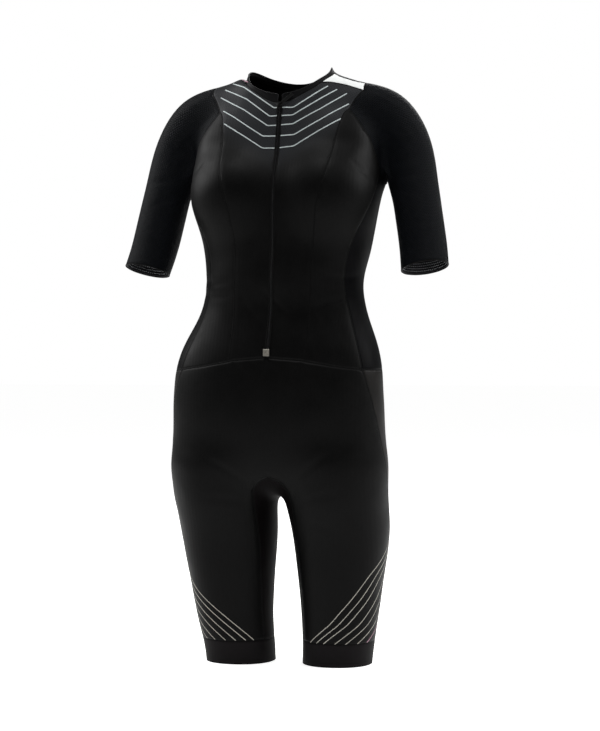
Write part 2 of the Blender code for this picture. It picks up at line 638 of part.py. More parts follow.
for side in (LEFT, RIGHT):
    parts = [ARMHOLE_BAND, ARMHOLE_TOP[side], ARMHOLE_FRONT, ARMPIT, ARMHOLE_BACK]
    anchors = [(90.0, 66.0), (66.0, 30.0), (30.0, -58.0), (-58.0, -122.0), (-122.0, -270.0)]
    loop = np.concatenate([part[:-1] for part in parts])
    turns = turns_along(parts, anchors)
    first = arm_ring(SLEEVE_RING, turns, LEFT)
    hole_centre, ring_centre = loop.mean(axis=0), first.mean(axis=0)
    rings = [loop]
    for row in range(1, CELLS["sleeve_top"]):
        share = row / CELLS["sleeve_top"]
        hub = ((1 - share)**2 * hole_centre + 2 * share * (1 - share) * np.array(SHOULDER_HUB)
               + share**2 * ring_centre)
        reach = (1 - share) * unit(loop - hole_centre) + share * unit(first - ring_centre)
        far = ((1 - share) * np.linalg.norm(loop - hole_centre, axis=1)
               + share * np.linalg.norm(first - ring_centre, axis=1))
        rings.append(fit(hub + unit(reach) * far[:, None]))
    for row in range(CELLS["sleeve"] + 1):
        rings.append(arm_ring(SLEEVE_RING + (1 - SLEEVE_RING) * row / CELLS["sleeve"], turns, LEFT))
    wall("sleeve_" + SIDE_NAMES[side], grid_skin(sided(np.array(rings), side), closed=True), "mesh")
    arm_length = np.linalg.norm(np.array(ARM_CUFF) - np.array(ARM_TOP))
    grip_rows = [1 - GRIP_HEIGHT / arm_length, 1 - GRIP_HEIGHT / arm_length / 2, 1]
    grip = np.array([arm_ring(along, turns, LEFT) for along in grip_rows])
    wall("cuff_grip_" + SIDE_NAMES[side], grid_skin(sided(grip, side), closed=True), "grip",
         outer=-(CLOTH + SEAM_GAP), thickness=GRIP_TAPE)

# ---------------------------------------------------------------- shorts and leg bands
INWARD, OUTWARD = -1, 1


def leg_curve(rows, way):
    return [round_leg(way * turn, z) for z, turn in rows]


arch_front = on_front(*ARCH_FRONT[0]) * np.array((0.0, 1.0, 1.0))
arch_back = on_back(*ARCH_BACK[0]) * np.array((0.0, 1.0, 1.0))
hip_rows = [round_trunk(turn, z) for z, turn in HIP_SEAM]
hip_rows[0] = round_trunk(SIDE_FRONT_WAIST, waist_height(SIDE_FRONT_WAIST))
out_seam = curve(hip_rows + leg_curve(OUTSEAM[:-1], OUTWARD), CELLS["hip"] + CELLS["leg"])
arch_side = {"front": [on_front(x, z) for x, z in ARCH_FRONT], "back": [on_back(x, z) for x, z in ARCH_BACK]}
leg_cells = CELLS["leg"] - CELLS["arch"]
in_front = join(curve(arch_side["front"], CELLS["arch"]),
                curve([arch_side["front"][-1]] + leg_curve(INSEAM_FRONT[1:-1], INWARD), leg_cells))
in_back = join(curve(arch_side["back"], CELLS["arch"]),
               curve([arch_side["back"][-1]] + leg_curve(INSEAM_BACK[1:-1], INWARD), leg_cells))
fork_front = curve([round_trunk(0.0, waist_height(0.0)), on_front(0.0, BELLY_Z), on_front(0.0, FORK_Z),
                    arch_front], CELLS["hip"])
fork_back = curve([round_trunk(180.0, waist_height(180.0)), on_back(0.0, BELLY_Z), on_back(0.0, FORK_Z),
                   arch_back], CELLS["hip"])


def leg_arc(start, end, z, cells):
    return np.array([round_leg(turn, z) for turn in np.linspace(start, end, cells + 1)])


front_columns = len(front_bottom[LEFT]) + CELLS["armhole_front"]
back_columns = CELLS["armpit"] + len(back_bottom_half[LEFT]) - 1
turn_in_front, turn_out, turn_in_back = -INSEAM_FRONT[-1][1], OUTSEAM[-1][1], 360.0 - INSEAM_BACK[-1][1]
hem_front = leg_arc(turn_in_front, turn_out, LEG_BAND_Z, front_columns)
hem_back = leg_arc(turn_out, turn_in_back, LEG_BAND_Z, back_columns)
hem_inner = leg_arc(turn_in_back, turn_in_front + 360.0, LEG_BAND_Z, CELLS["inner"])
out_seam[-1] = hem_front[-1]
in_front[-1] = hem_front[0]
in_back[-1] = hem_back[-1]
crotch = curve([arch_front, first_crossing((0, -0.03, -0.75), (0, 0, 1), 0.3)[0],
                first_crossing((0, 0.03, -0.75), (0, 0, 1), 0.3)[0], arch_back], CELLS["inner"])

for middle_line in (fork_front, fork_back, crotch):
    middle_line[:, 0] = 0.0
in_front[0] = arch_front
in_back[0] = arch_back

halves = {"shorts_front": [], "shorts_back": [], "inner_thighs": []}
for side in (LEFT, RIGHT):
    waist_front = np.concatenate((sided([fork_front[0]], side), front_bottom[side], side_bottom[side][1:]))
    waist_back = join(flank_bottom[side], back_bottom_half[side])
    outer = sided(out_seam, side)
    front_line = sided(join(fork_front, in_front), side)
    back_line = sided(join(fork_back, in_back), side)
    halves["shorts_front"].append(grid_skin(patch(waist_front, sided(hem_front, side), front_line, outer)))
    halves["shorts_back"].append(grid_skin(patch(waist_back, sided(hem_back, side), outer, back_line)))
    halves["inner_thighs"].append(grid_skin(patch(sided(crotch, side), sided(hem_inner[::-1], side),
                                                  sided(in_front, side), sided(in_back, side))))
    ring = np.concatenate((hem_front[:-1], hem_back[:-1], hem_inner[:-1]))
    turns = np.concatenate((np.linspace(turn_in_front, turn_out, front_columns + 1)[:-1],
                            np.linspace(turn_out, turn_in_back, back_columns + 1)[:-1],
                            np.linspace(turn_in_back, turn_in_front + 360.0, CELLS["inner"] + 1)[:-1]))
    hem = np.array([round_leg(turn, HEM_Z) for turn in turns])
    band = np.array([ring, fit((ring + hem) / 2), hem])
    wall("leg_band_" + SIDE_NAMES[side], grid_skin(sided(band, side), closed=True), "stretch")
for name, skins in halves.items():
    wall(name, merge_skins(*skins), "stretch")

# ---------------------------------------------------------------- zip: chain, slider, pull tab, box
wall("zip_chain", grid_skin(np.stack((zip_edges[RIGHT], zip_edges[LEFT]), axis=1)), "zip",
     thickness=ZIP_THICK)


def frame_at(z, along=(0.0, 0.0, 1.0)):
    """Axes on the front's centre line: across, along and out of the surface, with the point in posture."""
    point = on_front(0.0, z)
    out = unit(outward(point[None]))[0]
    along = unit(np.array(along) - out * (np.array(along) @ out))
    across = np.cross(along, out)
    return posture(point[None])[0], across, along, out


def block(name, origin, axes, size, look, corner=0.0004, guide=False, forward=0.0):
    """A box with softened edges on its own axes, its middle a distance forward of its origin."""
    made_mesh = bmesh.new()
    bmesh.ops.create_cube(made_mesh, size=1.0)
    bmesh.ops.scale(made_mesh, vec=Vector(size), verts=made_mesh.verts)
    bmesh.ops.translate(made_mesh, vec=Vector((0.0, forward, 0.0)), verts=made_mesh.verts)
    if corner:
        bmesh.ops.bevel(made_mesh, geom=made_mesh.edges[:], offset=corner, offset_type="OFFSET", segments=1,
                        profile=0.5, affect="EDGES", material=-1)
    mesh = bpy.data.meshes.new(name)
    made_mesh.to_mesh(mesh)
    made_mesh.free()
    mesh.materials.append(material(look))
    made = bpy.data.objects.new(name, mesh)
    bpy.context.scene.collection.objects.link(made)
    turn = Matrix([[axes[column][row] for column in range(3)] for row in range(3)]).to_4x4()
    made.matrix_world = Matrix.Translation(Vector(origin)) @ turn
    if guide:
        made.hide_render = True
        made.display_type = "WIRE"
    return made


def combine(target, other, operation):
    cut = target.modifiers.new(other.name, "BOOLEAN")
    cut.object = other
    cut.operation = operation


point, across, along, out = frame_at(SLIDER_Z)
slider_centre = point + out * (SLIDER_LIFT + SLIDER_SIZE[2] / 2)
slider = block("zip_slider", slider_centre, (across, along, out), SLIDER_SIZE, "pull", corner=0.0006)
lean = np.radians(PULL_LEAN)
pull_along = np.cos(lean) * along + np.sin(lean) * across
pull_across = np.cross(pull_along, out)
bail_axes = (pull_across, pull_along, out)
hinge = point + out * (SLIDER_LIFT + SLIDER_SIZE[2] + HINGE_HEIGHT)
leg_reach = PULL_RIM / 2 + BAIL_PLAY + BAIL_THICK / 2
leg_height = HINGE_HEIGHT + BAIL_RISE + BAIL_SINK
for number, way in enumerate((-1, 1)):
    leg_centre = hinge + pull_along * way * leg_reach + out * (BAIL_RISE - leg_height / 2)
    leg_size = (BAIL_WIDTH, BAIL_THICK, leg_height)
    combine(slider, block(f"guide_leg_{number}", leg_centre, bail_axes, leg_size, "pull", corner=0.0,
                          guide=True), "UNION")
bridge_size = (BAIL_WIDTH, 2 * leg_reach + BAIL_THICK, BAIL_THICK)
bridge_centre = hinge + out * (BAIL_RISE - BAIL_THICK / 2)
combine(slider, block("guide_bridge", bridge_centre, bail_axes, bridge_size, "pull", corner=0.0,
                      guide=True), "UNION")
tilt = np.radians(PULL_TILT)
tab_along = np.cos(tilt) * pull_along - np.sin(tilt) * out
tab_out = np.cross(pull_across, tab_along)
tab_axes = (pull_across, tab_along, tab_out)
pull = block("zip_pull", hinge, tab_axes, (PULL_WIDTH, PULL_LENGTH, PULL_THICK), "pull",
             forward=PULL_LENGTH / 2 - PULL_RIM / 2)
combine(pull, block("guide_eye", hinge + tab_along * (PULL_RIM / 2 + EYE_LENGTH / 2), tab_axes,
                    (PULL_WIDTH - 2 * PULL_RIM, EYE_LENGTH, 4 * PULL_THICK), "pull", corner=0.0, guide=True),
        "DIFFERENCE")

point, across, along, out = frame_at(BOX_Z)
block("zip_box", point + out * (BOX_LIFT + BOX_SIZE[2] / 2), (across, along, out), BOX_SIZE, "metal")
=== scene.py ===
import math
import bmesh
import bpy
import numpy as np
from mathutils import Matrix, Vector
from mathutils.bvhtree import BVHTree
from mathutils.kdtree import KDTree


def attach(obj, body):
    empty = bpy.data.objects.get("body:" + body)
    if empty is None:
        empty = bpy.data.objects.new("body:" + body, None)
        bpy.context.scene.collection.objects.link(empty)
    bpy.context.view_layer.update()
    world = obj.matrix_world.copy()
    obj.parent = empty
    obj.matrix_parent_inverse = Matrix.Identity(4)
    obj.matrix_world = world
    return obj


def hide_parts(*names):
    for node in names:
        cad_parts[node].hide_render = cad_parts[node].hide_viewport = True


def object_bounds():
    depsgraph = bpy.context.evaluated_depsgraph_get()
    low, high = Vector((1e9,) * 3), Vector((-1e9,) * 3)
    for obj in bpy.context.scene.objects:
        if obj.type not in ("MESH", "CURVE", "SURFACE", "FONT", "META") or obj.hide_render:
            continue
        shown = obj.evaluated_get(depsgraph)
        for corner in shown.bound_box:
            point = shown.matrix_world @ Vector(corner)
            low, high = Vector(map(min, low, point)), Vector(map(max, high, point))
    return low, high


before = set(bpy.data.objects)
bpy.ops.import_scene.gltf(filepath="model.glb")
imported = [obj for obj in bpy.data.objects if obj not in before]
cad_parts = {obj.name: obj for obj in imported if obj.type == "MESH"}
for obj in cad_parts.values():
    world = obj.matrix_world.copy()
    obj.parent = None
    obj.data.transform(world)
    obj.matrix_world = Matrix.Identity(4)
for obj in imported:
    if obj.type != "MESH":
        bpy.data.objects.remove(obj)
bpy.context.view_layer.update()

# ------------------------------------------------------------ camera
# A portrait view from a little to the wearer's left of straight ahead, level with the middle of
# the suit, from far enough away that the legs and shoulders keep their proportions.
CAMERA_TURN = math.radians(13.0)
CAMERA_DISTANCE = 2.90
CAMERA_SIDE = 0.0186
CAMERA_HEIGHT = -0.431
VIEW_HEIGHT = 1.135
SENSOR = 36.0
camera_data = bpy.data.cameras.new("camera")
camera_data.sensor_fit = "VERTICAL"
camera_data.sensor_height = SENSOR
camera_data.lens = SENSOR * CAMERA_DISTANCE / VIEW_HEIGHT
camera = bpy.data.objects.new("camera", camera_data)
camera.location = (CAMERA_DISTANCE * math.sin(CAMERA_TURN) + CAMERA_SIDE * math.cos(CAMERA_TURN),
                   -CAMERA_DISTANCE * math.cos(CAMERA_TURN) + CAMERA_SIDE * math.sin(CAMERA_TURN),
                   CAMERA_HEIGHT)
camera.rotation_euler = (math.radians(90.0), 0.0, CAMERA_TURN)
bpy.context.scene.collection.objects.link(camera)
bpy.context.scene.camera = camera

# ------------------------------------------------------------ the suit's skin
# All the knitted panels of a worn suit pull into one smooth surface over the seams. So the outer
# faces of the panels' solids are sewn together, smoothed as one skin, creased, and cut again.
PANELS = ["front_centre_left", "front_centre_right", "front_side_left", "front_side_right",
          "side_left", "side_right", "back", "shoulder_band_left", "collar", "sleeve_left",
          "sleeve_right", "shorts_front", "shorts_back", "inner_thighs", "leg_band_left",
          "leg_band_right", "zip_chain"]
SEWN_GAP = 0.0020           # panels' corners closer than this are one point of a seam
RIM_WIDTH = 0.00175         # faces with an edge shorter than this are the cut edges of a solid
SMOOTH_LEVELS = 3
ARM_START = Vector((0.1785, 0.0370, -0.0500))
ARM_END = Vector((0.2197, -0.0154, -0.2825))
LEG_AXIS = Vector((0.083, -0.004, 0.0))
CROTCH_Z = -0.62
SLEEVES_FROM_X = 0.150      # farther out than this and above the cuffs, a point is on a sleeve
CUFFS_Z = -0.32
NECK_Z = -0.06
NECK_LOWER = 0.10           # on the shoulders, outwards is away from a point this far below the neck
LEFT, RIGHT = 1, -1
SIDES = {"left": LEFT, "right": RIGHT}


def arm_place(point):
    """How far a point lies along the arm on its own side, and its offset from the arm's axis."""
    place = Vector((abs(point[0]), point[1], point[2]))
    axis = (ARM_END - ARM_START).normalized()
    along = (place - ARM_START).dot(axis)
    return along, place - ARM_START - axis * along


def from_inside(point):
    """Which way is outwards at a point, roughly, seen from the middle of the trunk, leg or arm."""
    x, y, z = point
    if abs(x) > SLEEVES_FROM_X and z > CUFFS_Z:
        away = arm_place(point)[1]
        return Vector((math.copysign(1.0, x) * away.x, away.y, away.z))
    if z < CROTCH_Z:
        return Vector((x - math.copysign(LEG_AXIS.x, x), y - LEG_AXIS.y, 0.0))
    return Vector((x / 2, y, z + NECK_LOWER if z > NECK_Z else 0.0))


def outer_skin(node):
    """A CAD wall's outer faces, as a bmesh: cut edges and inner faces are taken away."""
    skin = bmesh.new()
    skin.from_mesh(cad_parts[node].data)
    bmesh.ops.remove_doubles(skin, verts=skin.verts, dist=1e-5)
    rim = [face for face in skin.faces if min(edge.calc_length() for edge in face.edges) < RIM_WIDTH]
    bmesh.ops.delete(skin, geom=rim, context="FACES")
    skin.faces.ensure_lookup_table()
    skin.faces.index_update()
    group, votes = {}, []
    for face in skin.faces:
        if face.index in group:
            continue
        stack, vote = [face], 0.0
        group[face.index] = len(votes)
        while stack:
            current = stack.pop()
            vote += current.calc_area() * current.normal.dot(from_inside(current.calc_center_median()))
            for edge in current.edges:
                for other in edge.link_faces:
                    if other.index not in group:
                        group[other.index] = len(votes)
                        stack.append(other)
        votes.append(vote)
    inner = [face for face in skin.faces if votes[group[face.index]] < 0]
    bmesh.ops.delete(skin, geom=inner, context="FACES")
    return skin


def link(name, made_mesh):
    """A bmesh made into an object at the origin."""
    mesh = bpy.data.meshes.new(name)
    made_mesh.to_mesh(mesh)
    made_mesh.free()
    made = bpy.data.objects.new(name, mesh)
    bpy.context.scene.collection.objects.link(made)
    return made


def coordinates(mesh):
    """A mesh's vertices as rows of x, y and z."""
    flat = np.empty(len(mesh.vertices) * 3)
    mesh.vertices.foreach_get("co", flat)
    return flat.reshape(-1, 3)


whole = bmesh.new()
for number, panel in enumerate(PANELS):
    skin = outer_skin(panel)
    for face in skin.faces:
        face.material_index = number
    piece_mesh = bpy.data.meshes.new("skin")
    skin.to_mesh(piece_mesh)
    skin.free()
    whole.from_mesh(piece_mesh)
bmesh.ops.remove_doubles(whole, verts=whole.verts, dist=SEWN_GAP)
bmesh.ops.holes_fill(whole, edges=[edge for edge in whole.edges if edge.is_boundary], sides=4)
bmesh.ops.join_triangles(whole, faces=whole.faces, cmp_materials=True,
                         angle_face_threshold=math.radians(60), angle_shape_threshold=math.radians(120))
bmesh.ops.recalc_face_normals(whole, faces=whole.faces)
cage = link("skin_cage", whole)
for panel in PANELS:
    cage.data.materials.append(bpy.data.materials.new(panel))
smoothing = cage.modifiers.new("smooth", "SUBSURF")
smoothing.boundary_smooth = "PRESERVE_CORNERS"
target = coordinates(cage.data)
DRAW_BACK = 0.8             # smoothing shrinks the cage, so its points move back by this share
MOST_BACK = 0.0016          # and by no more than this in each of two rounds
for _ in range(2):
    smoothing.levels = smoothing.render_levels = 2
    bpy.context.view_layer.update()
    smooth = bpy.data.meshes.new_from_object(cage.evaluated_get(bpy.context.evaluated_depsgraph_get()))
    missed = (target - coordinates(smooth)[:len(target)]) * DRAW_BACK
    size = np.linalg.norm(missed, axis=1, keepdims=True) + 1e-12
    missed *= np.minimum(1.0, MOST_BACK / size)
    cage.data.vertices.foreach_set("co", (coordinates(cage.data) + missed).ravel())
    cage.data.update()
smoothing.levels = smoothing.render_levels = SMOOTH_LEVELS
bpy.context.view_layer.update()
skin_mesh = bpy.data.meshes.new_from_object(cage.evaluated_get(bpy.context.evaluated_depsgraph_get()))
bpy.data.objects.remove(cage)

# ------------------------------------------------------------ creases
# Worn knit pulls into soft troughs where the body bends: round the armpits, under the bust, at the
# waist, the crotch and the knees. Each has its own line, width and depth, and fades at its ends.
MM = 0.001
CREASES = [
    # three places it passes (mm), half width (mm), depth (mm)
    ((158, -22, -124), (200, -22, -110), (238, 2, -98), 5.0, 1.7),
    ((160, -24, -142), (200, -34, -137), (232, -16, -131), 6.0, 1.5),
    ((160, -20, -108), (188, -18, -86), (212, -4, -66), 5.0, 1.1),
    ((164, -14, -160), (190, -34, -164), (222, -30, -170), 7.0, 1.0),
    ((-158, -22, -122), (-196, -24, -112), (-230, -2, -104), 5.0, 1.5),
    ((-161, -24, -140), (-198, -33, -140), (-228, -18, -142), 6.5, 1.6),
    ((-160, -20, -106), (-184, -20, -84), (-206, -6, -60), 5.5, 0.9),
    ((-166, -12, -163), (-192, -34, -172), (-220, -32, -186), 7.0, 0.9),
    ((158, 44, -126), (196, 62, -112), (230, 44, -100), 5.5, 1.6),
    ((158, 40, -146), (196, 50, -146), (228, 36, -150), 6.5, 1.3),
    ((-158, 44, -124), (-194, 62, -114), (-226, 46, -106), 5.5, 1.5),
    ((-160, 40, -144), (-196, 50, -150), (-226, 36, -158), 6.5, 1.4),
    ((150, -40, -150), (128, -66, -138), (112, -70, -118), 6.0, 0.9),
    ((-149, -40, -148), (-130, -64, -134), (-116, -68, -112), 6.5, 0.8),
    ((146, 60, -150), (122, 88, -160), (96, 98, -172), 8.0, 1.0),
    ((-146, 60, -148), (-126, 88, -162), (-98, 98, -180), 8.0, 1.1),
    ((128, -20, -292), (104, -82, -300), (70, -104, -290), 7.0, 0.8),
    ((-127, -20, -296), (-100, -84, -306), (-66, -104, -300), 7.0, 0.8),
    ((126, -10, -322), (96, -84, -334), (52, -106, -346), 7.5, 0.7),
    ((-125, -10, -318), (-98, -84, -326), (-58, -106, -322), 7.0, 0.8),
    ((-26, -104, -312), (8, -106, -340), (40, -110, -374), 6.0, 0.7),
    ((-48, -104, -336), (-24, -108, -362), (2, -114, -388), 6.5, 0.5),
    ((52, -104, -318), (70, -102, -342), (88, -98, -370), 7.0, 0.5),
    ((122, 40, -292), (76, 62, -300), (14, 66, -296), 8.0, 1.0),
    ((-122, 40, -288), (-78, 62, -294), (-22, 66, -302), 8.0, 1.1),
    ((116, 40, -320), (70, 58, -330), (6, 60, -326), 8.5, 0.9),
    ((-118, 40, -316), (-70, 58, -322), (-14, 60, -334), 8.5, 0.8),
    ((104, 44, -352), (54, 58, -360), (-6, 58, -356), 9.0, 0.6),
    ((-108, 44, -348), (-60, 56, -352), (-20, 58, -360), 8.0, 0.6),
    ((28, -96, -612), (58, -112, -584), (96, -112, -562), 7.0, 0.9),
    ((-36, -96, -612), (-66, -112, -588), (-104, -110, -570), 7.0, 0.9),
    ((32, -88, -640), (66, -104, -628), (104, -100, -620), 8.0, 0.8),
    ((-40, -88, -640), (-74, -102, -632), (-112, -96, -630), 8.0, 0.8),
    ((36, -78, -668), (70, -94, -672), (104, -88, -682), 8.5, 0.5),
    ((30, 66, -640), (74, 82, -652), (122, 62, -640), 7.0, 1.4),
    ((-36, 66, -642), (-80, 82, -656), (-128, 60, -648), 7.0, 1.4),
    ((30, 62, -668), (72, 76, -682), (112, 56, -684), 8.0, 0.9),
    ((-36, 62, -666), (-78, 76, -678), (-118, 54, -676), 8.0, 1.0),
    ((8, 84, -560), (40, 96, -590), (76, 94, -612), 8.0, 0.6),
    ((-16, 84, -562), (-48, 96, -594), (-86, 92, -618), 8.0, 0.6),
    ((44, -52, -812), (80, -66, -820), (116, -50, -812), 7.0, 0.4),
    ((-44, -52, -818), (-82, -66, -812), (-118, -48, -822), 7.0, 0.4),
    ((40, 46, -800), (80, 60, -810), (120, 44, -796), 7.0, 0.8),
    ((-42, 46, -806), (-82, 60, -816), (-120, 42, -800), 7.0, 0.8),
    ((46, 46, -832), (82, 56, -838), (114, 44, -830), 6.5, 0.6),
    ((-46, 46, -828), (-80, 56, -836), (-112, 44, -834), 6.5, 0.5),
    ((190, -44, -206), (214, -50, -214), (240, -34, -206), 6.5, 0.6),
    ((-192, -44, -212), (-216, -50, -218), (-242, -34, -214), 6.5, 0.6),
    ((196, 24, -196), (220, 28, -204), (244, 10, -196), 7.0, 0.8),
    ((-196, 24, -200), (-222, 28, -210), (-246, 10, -206), 7.0, 0.8),
]
CREASE_STEPS = 14
SEAM_DIP = 0.00035          # the skin sinks this much into a sewn seam
SEAM_DIP_WIDTH = 0.0028

skin = bmesh.new()
skin.from_mesh(skin_mesh)
skin_surface = BVHTree.FromBMesh(skin)
points = coordinates(skin_mesh)
normals = np.empty(len(points) * 3)
skin_mesh.vertices.foreach_get("normal", normals)
normals = normals.reshape(-1, 3)
relief = np.zeros(len(points))


def bowed(first, middle, last, steps):
    """Points of a parabola through three places, laid on the skin."""
    first, middle, last = (np.array(place, dtype=float) for place in (first, middle, last))
    bend = 2 * middle - (first + last) / 2
    share = np.linspace(0, 1, steps)[:, None]
    line = (1 - share)**2 * first + 2 * share * (1 - share) * bend + share**2 * last
    return np.array([skin_surface.find_nearest(Vector(place))[0] for place in line])


for first, middle, last, half_width, depth in CREASES:
    line = bowed(np.array(first) * MM, np.array(middle) * MM, np.array(last) * MM, CREASE_STEPS)
    reach = 3 * half_width * MM
    inside = (points > line.min(axis=0) - reach) & (points < line.max(axis=0) + reach)
    near = np.where(inside.all(axis=1))[0]
    starts, steps = line[:-1], np.diff(line, axis=0)
    offset = points[near][:, None] - starts[None]
    share = np.clip((offset * steps).sum(axis=2) / (steps * steps).sum(axis=1), 0, 1)
    gaps = np.linalg.norm(offset - share[..., None] * steps, axis=2)
    closest = gaps.argmin(axis=1)
    gap = gaps[np.arange(len(near)), closest] / (half_width * MM)
    place = (closest + share[np.arange(len(near)), closest]) / len(steps)
    fade = np.sin(np.pi * np.clip(place, 0.02, 0.98))**0.8
    relief[near] -= depth * MM * fade * (1 - 0.9 * gap**2) * np.exp(-gap**2)

seam_edges = [edge for edge in skin.edges
              if len({face.material_index for face in edge.link_faces}) == 2]
seam_tree = KDTree(len(seam_edges))
for number, edge in enumerate(seam_edges):
    seam_tree.insert((edge.verts[0].co + edge.verts[1].co) / 2, number)
seam_tree.balance()
for number, point in enumerate(points):
    gap = seam_tree.find(point)[2]
    if gap < 3 * SEAM_DIP_WIDTH:
        relief[number] -= SEAM_DIP * math.exp(-(gap / SEAM_DIP_WIDTH)**2)
points = points + normals * relief[:, None]
for vertex, point in zip(skin.verts, points):
    vertex.co = point
skin.normal_update()
skin_surface = BVHTree.FromBMesh(skin)

# ------------------------------------------------------------ knitted panels
# Each panel is cut from warp-knitted polyamide and elastane, about a millimetre thick with its
# brushed inside. It is stretched over the form, so its flat cut is an eighth smaller than worn.
CLOTH_THICKNESS = 0.0011


def linear(code):
    """An sRGB hex value as linear red, green, blue and one."""
    values = [int(code[place:place + 2], 16) / 255 for place in (1, 3, 5)]
    return tuple(v / 12.92 if v <= 0.04045 else ((v + 0.055) / 1.055)**2.4 for v in values) + (1.0,)


def node(tree, kind, links=(), **settings):
    """Add one node: settings are its properties or inputs, links join its inputs to outputs."""
    made = tree.nodes.new(kind)
    for name, value in settings.items():
        if hasattr(made, name):
            setattr(made, name, value)
        else:
            made.inputs[int(name[1:]) if name[1:].isdigit() else name.replace("_", " ")].default_value = value
    for socket, output in dict(links).items():
        tree.links.new(output, made.inputs[socket])
    return made


def start_material(name, roughness, specular, metallic=0.0, sheen=0.0):
    """A new material with its node tree and its shader."""
    made = bpy.data.materials.new(name)
    made.use_nodes = True
    shader = made.node_tree.nodes["Principled BSDF"]
    shader.inputs["Roughness"].default_value = roughness
    shader.inputs["Specular IOR Level"].default_value = specular
    shader.inputs["Metallic"].default_value = metallic
    shader.inputs["Sheen Weight"].default_value = sheen
    shader.inputs["Sheen Roughness"].default_value = 0.45
    return made, made.node_tree, shader


RIB_SCALE = 1 / (18 * MM)   # ribs of 0.35 mm in the cloth, drawn at about 5.7 mm so that they show
LOOP_SIZE = 0.9 * MM        # loops, drawn coarser too


def knit(name, dark, light, roughness, specular, sheen=0.0):
    """Warp knit: soft upright ribs, fine loops, a cloudy unevenness, and a satin gloss."""
    made, tree, shader = start_material(name, roughness, specular, sheen=sheen)
    place = node(tree, "ShaderNodeTexCoord")
    cloud = node(tree, "ShaderNodeTexNoise", {"Vector": place.outputs["Object"]}, Scale=26.0, Detail=5.0,
                 Roughness=0.6)
    fine = node(tree, "ShaderNodeTexNoise", {"Vector": place.outputs["Object"]}, Scale=1 / LOOP_SIZE,
                Detail=2.0)
    tone = node(tree, "ShaderNodeMapRange", {"Value": cloud.outputs["Fac"]}, From_Min=0.30, From_Max=0.72)
    colour = node(tree, "ShaderNodeMix", {"Factor": tone.outputs["Result"]}, data_type="RGBA",
                  _6=linear(dark), _7=linear(light))
    tree.links.new(colour.outputs[2], shader.inputs["Base Color"])
    gloss = node(tree, "ShaderNodeMapRange", {"Value": cloud.outputs["Fac"]}, From_Min=0.3, From_Max=0.7,
                 To_Min=roughness - 0.04, To_Max=roughness + 0.05)
    tree.links.new(gloss.outputs["Result"], shader.inputs["Roughness"])
    ribs = node(tree, "ShaderNodeTexWave", {"Vector": place.outputs["Object"]}, Scale=RIB_SCALE,
                Distortion=1.2, Detail=1.0, bands_direction="X")
    height = node(tree, "ShaderNodeMath", {0: ribs.outputs["Fac"], 1: fine.outputs["Fac"]}, operation="ADD")
    bump = node(tree, "ShaderNodeBump", {"Height": height.outputs["Value"]}, Strength=0.35,
                Distance=0.12 * MM)
    tree.links.new(bump.outputs["Normal"], shader.inputs["Normal"])
    return made, tree, shader


stretch_knit = knit("satin_stretch_knit", "#040404", "#070707", 0.50, 0.05)[0]
yoke_knit, yoke_tree, yoke_shader = knit("printed_yoke_knit", "#040404", "#070707", 0.50, 0.05)
shorts_knit = knit("satin_shorts_knit", "#040404", "#070707", 0.50, 0.05)[0]
hip_knit = knit("glossy_hip_knit", "#0c0b0a", "#110f0e", 0.46, 0.07)[0]
inner_knit = knit("matt_inner_knit", "#040303", "#070506", 0.60, 0.03)[0]
side_knit = knit("dark_side_knit", "#030304", "#040405", 0.50, 0.03)[0]
hem_knit = knit("hem_band_knit", "#0c0a0b", "#100e0f", 0.60, 0.05)[0]
collar_knit = knit("collar_knit", "#0a0a0b", "#0e0e0f", 0.55, 0.05)[0]
white_knit, band_tree, band_shader = knit("white_band_knit", "#c9cbca", "#d4d6d5", 0.60, 0.20, 0.04)

# Only the front strip of the shoulder band is white: behind a slanting edge the band is black
BAND_SLANT = -0.26          # the edge runs back towards the arm: depth less 0.26 of the distance
BAND_BACK = -0.020
band_place = node(band_tree, "ShaderNodeTexCoord")
band_parts = node(band_tree, "ShaderNodeSeparateXYZ", {"Vector": band_place.outputs["Object"]})
band_depth = node(band_tree, "ShaderNodeMath", {0: band_parts.outputs["X"], 2: band_parts.outputs["Y"]},
                  operation="MULTIPLY_ADD", _1=BAND_SLANT)
band_edge = node(band_tree, "ShaderNodeMapRange", {"Value": band_depth.outputs["Value"]}, From_Min=BAND_BACK,
                 From_Max=BAND_BACK + 0.001)
band_white = band_shader.inputs["Base Color"].links[0].from_socket
band_tone = node(band_tree, "ShaderNodeMix", {"Factor": band_edge.outputs["Result"], 6: band_white},
                 data_type="RGBA", _7=linear("#0c0c0d"))
band_tree.links.new(band_tone.outputs[2], band_shader.inputs["Base Color"])
band_gloss = node(band_tree, "ShaderNodeMapRange", {"Value": band_edge.outputs["Result"]}, To_Min=0.20,
                  To_Max=0.05)
band_tree.links.new(band_gloss.outputs["Result"], band_shader.inputs["Specular IOR Level"])

# The printed yoke: dark grey ink with fine slanting dots, which fades out below the last stripe
YOKE_INK = "#232426"
YOKE_DOT = "#18191b"
DOT_PITCH = 3.2 * MM        # drawn coarser than real so that they show
FADE_SLOPE = -0.62          # the fade's edge rises away from the zip as the stripes do
FADE_START = -0.100
FADE_END = -0.150
yoke_place = node(yoke_tree, "ShaderNodeTexCoord")
yoke_parts = node(yoke_tree, "ShaderNodeSeparateXYZ", {"Vector": yoke_place.outputs["Object"]})
across_abs = node(yoke_tree, "ShaderNodeMath", {0: yoke_parts.outputs["X"]}, operation="ABSOLUTE")
edge_height = node(yoke_tree, "ShaderNodeMath", {0: across_abs.outputs["Value"], 2: yoke_parts.outputs["Z"]},
                   operation="MULTIPLY_ADD", _1=FADE_SLOPE)
fade = node(yoke_tree, "ShaderNodeMapRange", {"Value": edge_height.outputs["Value"]},
            interpolation_type="SMOOTHSTEP", From_Min=FADE_END, From_Max=FADE_START)
